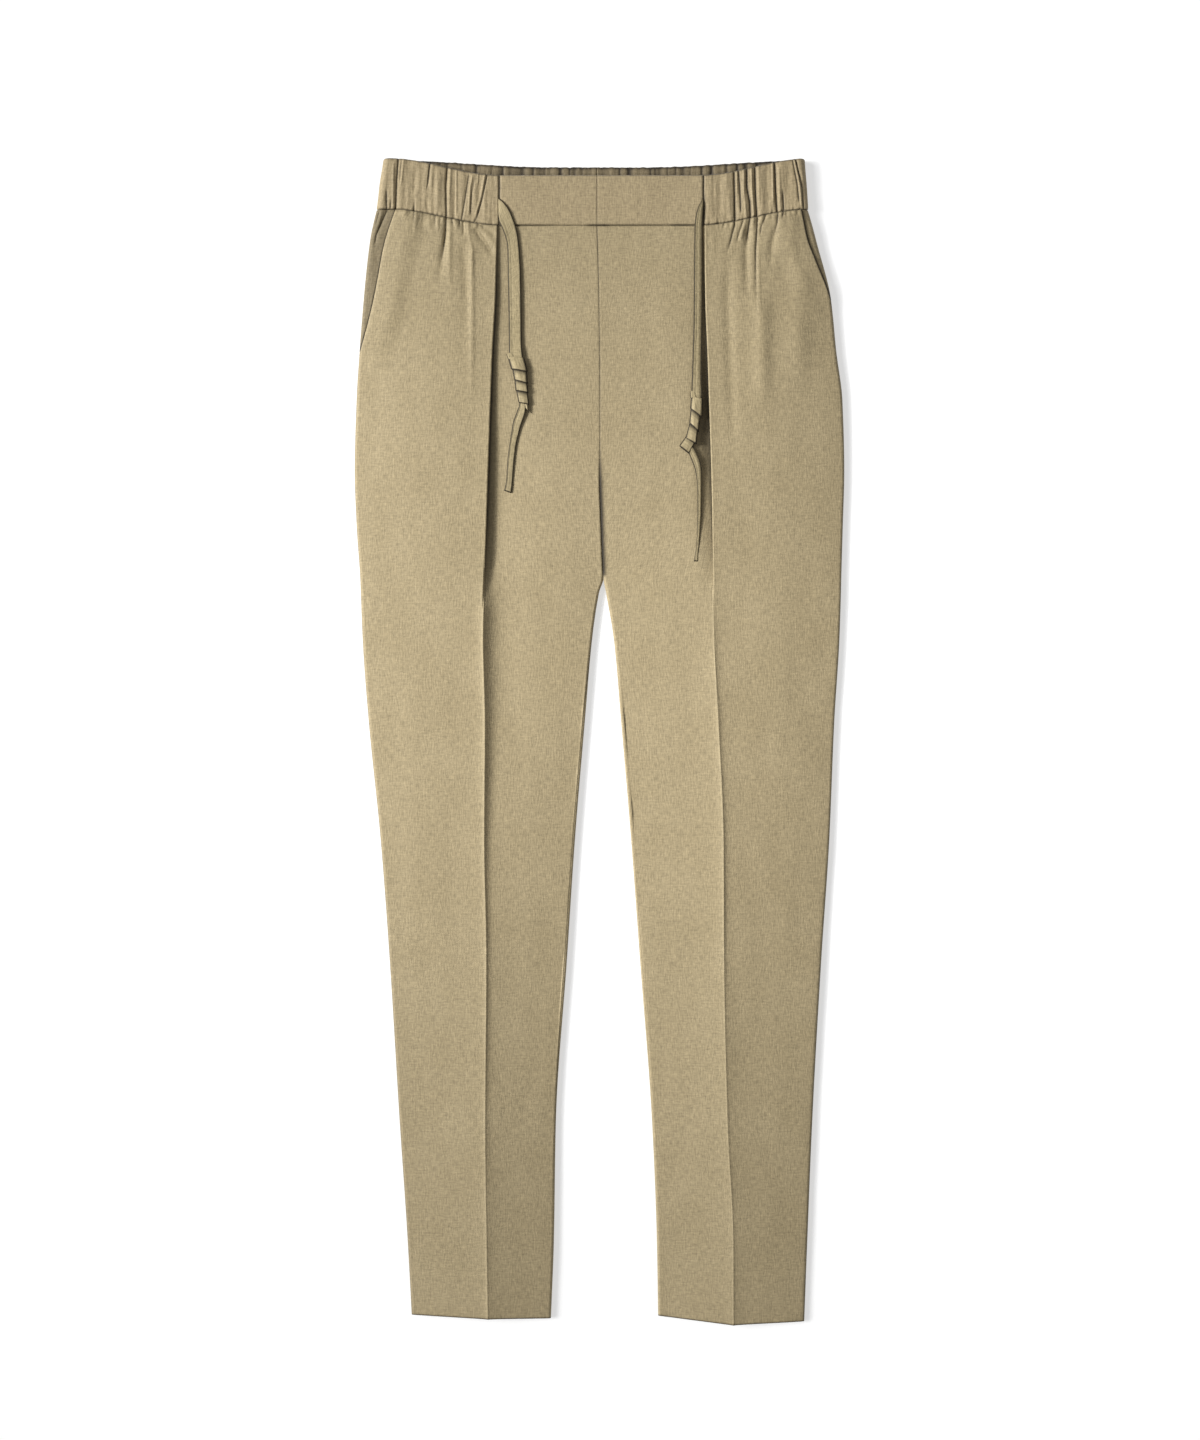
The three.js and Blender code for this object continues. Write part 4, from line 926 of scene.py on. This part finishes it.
# Drawstrings: flat tubes of cloth. Each row gives both edges of the tape in the photograph's
# pixels, left then right, the height of its middle, and how far the right edge lies below the left.
STITCH = {"right": -0.46, "left": -0.3}  # where it runs, from -1 at the left edge to 1 at the right
TAPE_EDGES = {
    "right": [
        ((499.1, 217.5), (498.9, 200.6), 11.5, 0),
        ((499.3, 221.5), (503.5, 204.4), 12.5, 0),
        ((500.2, 226.0), (507.8, 209.7), 12.9, 0),
        ((502.3, 230.5), (511.0, 215.3), 13.0, 0),
        ((504.3, 235.2), (513.8, 222.0), 12.9, 0),
        ((506.0, 240.4), (516.2, 229.0), 12.5, 0),
        ((507.4, 246.5), (518.2, 237.5), 12.1, 0),
        ((508.0, 256.0), (519.9, 251.0), 11.8, 0),
        ((508.4, 276.0), (520.9, 268.0), 11.7, 0),
        ((508.6, 291.0), (521.5, 287.5), 11.6, 0),
        ((508.9, 308.0), (521.8, 307.0), 11.6, 0),
        ((509.2, 328.0), (522.0, 328.0), 11.7, 0.3),
        ((509.4, 345.0), (522.3, 345.5), 12.0, 0.3),
        ((509.8, 356.0), (523.2, 357.0), 12.8, 0.2),
        ((515.6, 374.0), (525.6, 375.0), 13.0, 0),
        ((518.2, 393.0), (526.6, 394.0), 12.8, 0),
        ((519.8, 405.0), (526.4, 408.5), 12.4, 0),
        ((517.2, 413.0), (525.2, 416.6), 11.9, 0),
        ((513.8, 422.4), (522.0, 425.8), 11.4, 0.5),
        ((511.8, 433.0), (519.4, 434.8), 11.1, 0.6),
        ((510.0, 444.0), (516.8, 445.2), 11.0, 0.6),
        ((508.4, 456.0), (515.2, 456.8), 10.9, 0.6),
        ((507.2, 469.0), (513.9, 469.6), 10.8, 0.6),
        ((506.5, 481.0), (513.0, 481.8), 10.7, 0.5),
        ((504.9, 489.0), (512.0, 491.2), 10.7, 0),
        ((504.2, 491.4), (511.5, 494.0), 10.6, 0),
    ],
    "left": [
        ((701.9, 201.4), (702.9, 203.0), 11.6, 0.3),
        ((699.8, 205.6), (702.9, 208.6), 12.7, 0.6),
        ((697.1, 211.2), (702.7, 215.0), 13.1, 0.9),
        ((695.2, 218.4), (702.4, 222.2), 13.1, 1.1),
        ((694.1, 226.4), (702.2, 229.4), 12.9, 1.2),
        ((693.7, 238.0), (702.2, 240.0), 12.6, 1.2),
        ((693.5, 257.0), (702.2, 258.0), 12.4, 1.2),
        ((693.3, 289.0), (702.2, 289.4), 12.2, 1.2),
        ((693.0, 320.0), (702.0, 320.4), 12.1, 1.2),
        ((692.3, 350.0), (701.6, 350.4), 12.1, 1.1),
        ((691.3, 380.0), (701.2, 380.6), 12.5, 0.8),
        ((690.9, 395.0), (701.4, 397.0), 12.8, 0.4),
        ((691.6, 412.0), (699.2, 414.0), 13.0, 0),
        ((690.2, 430.0), (696.6, 431.6), 12.9, 0),
        ((687.0, 444.0), (692.6, 447.0), 12.7, 0),
        ((688.2, 454.4), (693.8, 449.6), 12.4, 0),
        ((690.4, 460.4), (697.4, 456.6), 12.1, 0),
        ((693.0, 467.0), (700.2, 464.4), 11.9, 0.4),
        ((695.1, 474.4), (701.4, 472.8), 11.8, 0.6),
        ((696.4, 485.0), (701.6, 484.4), 11.7, 0.7),
        ((696.8, 500.0), (701.4, 500.0), 11.6, 0.7),
        ((696.8, 518.0), (700.9, 518.0), 11.4, 0.6),
        ((696.6, 532.0), (699.8, 532.0), 11.1, 0.4),
        ((695.6, 547.0), (699.0, 547.0), 10.7, 0.3),
        ((694.3, 556.0), (698.1, 556.0), 10.5, 0),
        ((693.2, 562.0), (698.4, 562.4), 10.4, 0),
    ],
}
# Each wrap of a knot: its upper edge from left to right, its lower edge, then the two heights
# of its middle and the two half heights
KNOT_WRAPS = {
    "right": [
        ((506.9, 356.4), (512.6, 354.0), (509.0, 362.0), (516.0, 361.0), 12.9, 12.9, 0.8, 1.6),
        ((507.9, 358.2), (524.8, 360.0), (511.8, 371.4), (528.2, 374.2), 12.9, 12.9, 1.9, 2.6),
        ((512.4, 369.0), (527.2, 371.4), (514.8, 382.0), (528.2, 386.0), 12.9, 12.8, 1.9, 2.4),
        ((514.8, 379.6), (527.4, 383.6), (516.2, 392.6), (528.8, 394.8), 12.8, 12.7, 1.8, 2.2),
        ((516.2, 390.4), (527.6, 392.2), (519.3, 404.8), (529.4, 406.6), 12.7, 12.5, 1.7, 2.0),
        ((522.6, 401.0), (528.6, 402.0), (525.6, 408.6), (529.0, 414.6), 12.6, 12.0, 1.4, 0.7),
    ],
    "left": [
        ((689.6, 393.4), (694.0, 392.6), (690.0, 400.0), (697.0, 401.4), 12.8, 12.8, 0.7, 1.4),
        ((690.6, 398.2), (702.2, 400.6), (689.8, 410.6), (701.6, 420.0), 12.9, 12.8, 1.9, 2.5),
        ((690.4, 407.8), (700.2, 414.4), (688.9, 425.2), (698.0, 433.8), 12.9, 12.8, 1.8, 2.3),
        ((689.6, 422.4), (697.4, 428.6), (685.0, 440.6), (695.8, 446.0), 12.8, 12.6, 1.7, 2.1),
        ((686.8, 436.0), (696.2, 440.6), (678.8, 447.6), (688.6, 455.6), 12.6, 12.4, 1.7, 1.9),
    ],
}


def through(points, steps):
    """A smooth curve through rows of numbers, with steps stations to each gap."""
    p = np.array(points, float)
    p = np.concatenate([[2 * p[0] - p[1]], p, [2 * p[-1] - p[-2]]])
    t = (np.arange(steps) / steps)[:, None]
    rows = []
    for a, b, c, d in zip(p, p[1:], p[2:], p[3:]):
        rows.append(0.5 * (2 * b + (c - a) * t + (2 * a - 5 * b + 4 * c - d) * t**2
                           + (3 * b - a - 3 * c + d) * t**3))
    return np.concatenate(rows + [p[-2:-1]])


def ring_faces(starts, count):
    """Faces between rings of points, each from one ring's first point to the next one's."""
    faces = []
    for j, m in starts:
        for i in range(count):
            n = (i + 1) % count
            faces.append((j + i, j + n, m + n, m + i))
    return faces


def settled(side, place):
    """How much lower than the tables' heights the cloth lies at places on the inner layer."""
    d, y = np.abs(place[:, 0]), np.minimum(place[:, 1], BAND_BOTTOM)
    return dip(side, d, y) + 0.8 * at(SINK[side], "by", y)


def tape(name, side):
    """A flat tube of cloth between its two edges, crowned, with a line of edge stitching."""
    rows = [(*from_photo(*l), *from_photo(*r), z, fall) for l, r, z, fall in TAPE_EDGES[side]]
    line = through(rows, 9)
    left, right, z, fall = line[:, 0:2], line[:, 2:4], line[:, 4:5], line[:, 5:6]
    z = z - settled(side, (left + right) / 2)[:, None]
    middle = np.concatenate([(left + right) / 2, z], axis=1)
    across = np.concatenate([(right - left) / 2, -fall / 2], axis=1)
    u = np.sin(np.linspace(-1, 1, 25) * math.pi / 2)
    body = np.clip(1 - np.abs(u) ** 10, 0, 1) ** 0.6
    stitch = STITCH[side]
    top = 0.9 * body + 0.1 * (1 - u * u)
    top = top - 0.35 * bell(u - stitch, 0.06)
    if side == "left":
        # It lies with its right edge rolled down
        top = top - 0.9 * smooth(-0.1, 1, u) ** 2 * body
    low = -0.75 * body
    ring_u = np.concatenate([u, u[-2:0:-1]])
    ring_z = np.concatenate([top, low[-2:0:-1]])
    thick = np.minimum(1, np.linalg.norm(across, axis=1) / 2.2)
    end = np.minimum(1, np.arange(len(line))[::-1] / 4 + 0.35)
    lift = ring_z[None, :] * (thick * end)[:, None]
    points = middle[:, None] + across[:, None] * ring_u[None, :, None]
    points[:, :, 2] += lift
    length = np.concatenate([[0], np.cumsum(np.linalg.norm(np.diff(middle, axis=0), axis=1))])
    width = np.linalg.norm(across, axis=1)[:, None]
    uv = np.stack(np.broadcast_arrays(ring_u[None, :] * width, length[:, None]), -1)
    count, last = len(ring_u), (len(line) - 1) * len(ring_u)
    faces = ring_faces([(j, j + count) for j in range(0, last, count)], count)
    faces += [tuple(range(count))[::-1], tuple(range(last, last + count))]
    made = mesh_object(name, points.reshape(-1, 3) * MM, faces, uv.reshape(-1, 2) * MM)
    outwards(made)
    # Painted shade: dark lines along the tape's edges and its stitching, and the whole underside
    narrow = np.minimum(1, width / 4)
    edge_painted_shade = smooth(1.7 * narrow, 0.7 * narrow, width * (1 - np.abs(ring_u[None, :])))
    stitch_painted_shade = bell(ring_u - stitch, 0.07)
    on_face = np.arange(len(ring_u)) < len(u)
    deep = np.where(on_face, np.clip(0.95 * edge_painted_shade + 0.45 * stitch_painted_shade, 0, 1), 0.9)
    # The free end is turned in and stitched. The code darkens its last 1.5 mm strongly and its last 28 mm a
    # little
    to_end = (length[-1] - length)[:, None]
    deep = np.maximum(deep, 0.8 * smooth(1.5, 0.6, to_end) + 0.2 * smooth(28, 6, to_end))
    store_painted_shade(made, deep.ravel())
    return made, middle * MM, float(length[-1] * MM)


def outwards(made):
    """Turns a closed mesh's faces to point outwards."""
    mesh = made.data
    volume = 0.0
    for face in mesh.polygons:
        corners = [mesh.vertices[i].co for i in face.vertices]
        for b, c in zip(corners[1:], corners[2:]):
            volume += corners[0].dot(b.cross(c))
    if volume < 0:
        mesh.flip_normals()


KNOT_SQUARE = 0.92  # 1 is an oval section, less is squarer
# Share down the wrap, and how far out of its surface: outside, rolled lower edge, inside
WRAP_PROFILE = [(0, 0), (0.08, 0.03), (0.18, 0.06), (0.35, 0.1), (0.55, 0.12), (0.75, 0.14),
                (0.9, 0.2), (0.95, 0.2), (0.985, 0.1), (1.0, -0.1), (1.0, -0.4), (0.95, -0.6),
                (0.6, -0.7), (0.1, -0.7), (0, -0.5)]


def barrel_knot(name, side):
    """The tape wound round itself: each wrap is a sleeve whose lower edge lies over the next."""
    around = 56
    a = np.arange(around) * 2 * math.pi / around
    c, s = (np.sign(v) * np.abs(v) ** KNOT_SQUARE for v in (np.cos(a), np.sin(a)))
    points, faces, uv, deep = [], [], [], []
    for k, (lt, rt, lb, rb, z0, z1, h0, h1) in enumerate(KNOT_WRAPS[side]):
        lt, rt, lb, rb = (np.array(from_photo(*p)) for p in (lt, rt, lb, rb))
        low = settled(side, np.array([(lt + rt + lb + rb) / 4]))[0]
        rings = []
        for share, out in WRAP_PROFILE:
            left, right = mix(lt, lb, share), mix(rt, rb, share)
            half = (right - left) / 2
            size = np.linalg.norm(half)
            half = half * (size + out) / size
            height = mix(h0, h1, share) + out
            crimp = 0.2 * np.sin(3 * a + 2 * k) + 0.14 * np.sin(7 * a + k)
            ring = np.zeros((around, 3))
            ring[:, :2] = (left + right) / 2 + half * c[:, None]
            ring[:, 2] = mix(z0, z1, share) - low + (height + crimp * share) * s
            rings.append(ring)
            uv.extend((angle * size, share * 10 + 14 * k) for angle in a)
            # Painted shade where the wrap before it covers it, at its rolled edge, and at its two sides
            edge = float(smooth(0.46, 0.2, share)) if k > 1 else 0.0
            edge = max(edge, 1.0 if share > 0.93 else 0.0) if out > -0.15 else 1.0
            sides = smooth(0.66, 0.88, np.abs(np.cos(a)))
            deep.extend(np.maximum(edge, sides))
        starts = [(len(points) + j) * around for j in range(len(rings))]
        faces += ring_faces(zip(starts, starts[1:] + starts[:1]), around)
        points.extend(rings)
    made = mesh_object(name, np.concatenate(points) * MM, faces, np.array(uv) * MM)
    outwards(made)
    store_painted_shade(made, deep)
    return made


for side in ("right", "left"):
    knot = barrel_knot(f"barrel_knot_{side}", side)
    cord, path, cord_length = tape(f"drawstring_tape_{side}", side)
    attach(knot, "root")
    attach(cord, "root")
    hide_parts(f"drawstring_knot_{side}")
    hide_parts(f"drawstring_{side}", f"drawstring_tail_{side}")
    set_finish(knot, "satin_crepe_cord")
    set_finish(cord, "satin_crepe_cord")


def front_leg(side):
    grid, deep = front_grid(side)
    top = HEM_NOMINAL + HEM_DEPTH
    inside = HALF + HEM_EXTRA * smooth(top + 2, top, LEG_ROWS)[:, None]
    return grid_shell(f"front_{side}_cloth", grid, HALF, inside, True, deep)


def back_leg(side):
    return grid_shell(f"back_{side}_cloth", back_grid(side), HALF, HALF, False)


def pocket_facing(side):
    grid, deep = facing_grid(side)
    return grid_shell(f"pocket_facing_{side}_cloth", grid, HALF, HALF, True, deep)


# Each sheet: how it is made, its slot, how it is held, what it lies on, then each side's flat
# cut in metres, as width, length and area
LEGS, WAIST = "satin_crepe", "satin_crepe_waistband"
SHEETS = {
    "front": (front_leg, LEGS, "laid", ["back"], (0.252, 0.975, 0.176), (0.252, 0.977, 0.177)),
    "back": (back_leg, LEGS, "laid", [], (0.222, 0.970, 0.173), (0.222, 0.972, 0.173)),
    "pocket_facing": (pocket_facing, LEGS, "laid", ["back"],
                      (0.045, 0.125, 0.0035), (0.036, 0.082, 0.0019)),
    "waistband_elastic": (elastic_band, WAIST, "gathered", ["back"],
                          (0.360, 0.043, 0.0154), (0.345, 0.043, 0.0148)),
    "waistband_front": (flat_band, WAIST, "laid", ["waistband_elastic"],
                        (0.085, 0.043, 0.00365), (0.088, 0.043, 0.00378)),
}
for side in ("right", "left"):
    for node, (make, slot, held, below, *cuts) in SHEETS.items():
        piece = make(side)
        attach(piece, "root")
        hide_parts(f"{node}_{side}")
        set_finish(piece, slot)


# Materials
def linear(code):
    """A colour from its sRGB hex code, in the linear values that the nodes take."""
    parts = [int(code[i : i + 2], 16) / 255 for i in (1, 3, 5)]
    return (*[c / 12.92 if c <= 0.04045 else ((c + 0.055) / 1.055) ** 2.4 for c in parts], 1)


def add(tree, kind, settings=(), values=(), links=()):
    """A node with its settings, its input values and its links from other nodes' outputs."""
    node = tree.nodes.new("ShaderNode" + kind)
    for name, value in dict(settings).items():
        setattr(node, name, value)
    for name, value in dict(values).items():
        node.inputs[name].default_value = value
    for name, source in dict(links).items():
        tree.links.new(source, node.inputs[name])
    return node


def new_material(name):
    made = bpy.data.materials.new(name)
    made.use_nodes = True
    made.node_tree.nodes.clear()
    return made, made.node_tree


def satin_crepe(name, base, roughness, crinkle, sheen=0.12, specular=0.3):
    """Polyester satin crepe, woven and softly creped: a low silky sheen over a fine dry grain."""
    made, tree = new_material(name)
    place = add(tree, "TexCoord").outputs["UV"]
    # The crepe's grain: short raised threads both ways, which give the eye its dry, matt depth.
    # The real threads are finer than a pixel, so they are drawn 1.3 mm wide and 6 mm long
    def threads(size):
        stretched = add(tree, "Mapping", {}, {"Scale": (1 / size[0], 1 / size[1], 1)},
                        {"Vector": place})
        return add(tree, "TexNoise", {}, {"Scale": 1, "Detail": 2, "Roughness": 0.55},
                   {"Vector": stretched.outputs["Vector"]}).outputs["Fac"]
    weft = threads((0.0060, 0.0013))
    warp = threads((0.0013, 0.0060))
    weave = add(tree, "Math", {"operation": "ADD"}, {}, {0: weft, 1: warp})
    # Soft unpressed wrinkles, 12 to 40 mm across
    soft = add(tree, "TexNoise", {}, {"Scale": 1 / 0.03, "Detail": 3, "Roughness": 0.55,
                                                "Distortion": 0.6}, {"Vector": place})
    height = add(tree, "Math", {"operation": "MULTIPLY_ADD"}, {1: crinkle},
                 {0: soft.outputs["Fac"], 2: weave.outputs[0]})
    bump = add(tree, "Bump", {}, {"Strength": 1.0, "Distance": 0.0003},
               {"Height": height.outputs[0]})
    # Colour: a little uneven in broad patches, and between threads
    broad = add(tree, "TexNoise", {}, {"Scale": 1 / 0.05, "Detail": 3}, {"Vector": place})
    colour = add(tree, "Mix", {"data_type": "RGBA"},
                 {"A": linear(base[0]), "B": linear(base[1])}, {"Factor": broad.outputs["Fac"]})
    speck = add(tree, "MapRange", {"clamp": False},
                {"From Min": 0.7, "From Max": 1.3, "To Min": 0.78, "To Max": 1.22},
                {"Value": weave.outputs[0]})
    colour = add(tree, "VectorMath", {"operation": "SCALE"}, {},
                 {0: colour.outputs["Result"], "Scale": speck.outputs["Result"]})
    # Painted shade: the painted_shade attribute darkens seams, the bottoms of sharp folds and other places
    # that hold next to no light
    deep = add(tree, "Attribute", {"attribute_name": "painted_shade"})
    amount = add(tree, "Math", {"operation": "MULTIPLY"}, {1: 0.96}, {0: deep.outputs["Fac"]})
    shaded = add(tree, "Mix", {"data_type": "RGBA"}, {"B": linear("#1f1912")},
                 {"Factor": amount.outputs[0], "A": colour.outputs["Vector"]})
    shader = add(tree, "BsdfPrincipled", {},
                 {"Roughness": roughness, "IOR": 1.5, "Specular IOR Level": specular,
                  "Sheen Weight": sheen, "Sheen Roughness": 0.4},
                 {"Base Color": shaded.outputs["Result"], "Normal": bump.outputs["Normal"]})
    add(tree, "OutputMaterial", {}, {}, {"Surface": shader.outputs["BSDF"]})
    return made


# The legs show broad soft wrinkles, the band is held flat by its elastic, and the tapes are
# turned and pressed, so their cloth is smoother and has less of a sheen
MATERIALS = {
    "satin_crepe": satin_crepe("satin_crepe_legs", ("#968767", "#a39474"), 0.66, 1.6),
    "satin_crepe_waistband": satin_crepe("satin_crepe_band", ("#99896a", "#a39373"), 0.66, 0.8),
    "satin_crepe_cord": satin_crepe("satin_crepe_tape", ("#9e906d", "#a99a79"), 0.64, 0.3, 0.04, 0.2),
}
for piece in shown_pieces():
    if "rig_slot" in piece and "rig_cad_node" not in piece:
        piece.data.materials.clear()
        piece.data.materials.append(MATERIALS[piece["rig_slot"]])

# A plain white floor and soft light, strongest from the left
floor_mesh = bpy.data.meshes.new("floor")
FLOOR_HALF, FLOOR_Z = 4, -0.0003  # just under the cloth
corners = [(-1, -1), (1, -1), (1, 1), (-1, 1)]
floor_mesh.from_pydata([(x * FLOOR_HALF, y * FLOOR_HALF, FLOOR_Z) for x, y in corners],
                       [], [(0, 1, 2, 3)])
floor = bpy.data.objects.new("floor", floor_mesh)
bpy.context.scene.collection.objects.link(floor)
paper, tree = new_material("white_paper")
shader = add(tree, "BsdfPrincipled", {},
             {"Base Color": (0.5, 0.5, 0.5, 1), "Roughness": 0.9, "Specular IOR Level": 0.1,
              "Emission Color": (1, 1, 1, 1), "Emission Strength": 0.54})
add(tree, "OutputMaterial", {}, {}, {"Surface": shader.outputs["BSDF"]})
floor.data.materials.append(paper)

world = bpy.data.worlds.new("studio")
world.use_nodes = True
world.node_tree.nodes["Background"].inputs["Color"].default_value = (1, 1, 1, 1)
world.node_tree.nodes["Background"].inputs["Strength"].default_value = 0.30
bpy.context.scene.world = world


def aimed(data, place, target):
    light = bpy.data.objects.new(data.name, data)
    light.location = place
    light.rotation_euler = (Vector(target) - Vector(place)).to_track_quat("-Z", "Y").to_euler()
    bpy.context.scene.collection.objects.link(light)


# A wide soft window on the left at about 34 degrees, and a second one that falls on the upper legs
window = bpy.data.lights.new("window", "SUN")
window.energy = 3.6
window.angle = math.radians(28)
aimed(window, (-2.0, 0.25, 1.35), (0, 0, 0))

pool = bpy.data.lights.new("pool", "SPOT")
pool.energy = 900
pool.spot_size = math.radians(13)
pool.spot_blend = 1.0
pool.shadow_soft_size = 0.3
aimed(pool, (-4.2, 0.5, 2.8), (-0.07, 0.10, 0))

scene = bpy.context.scene
scene.view_settings.view_transform = "Standard"
scene.view_settings.look = "None"
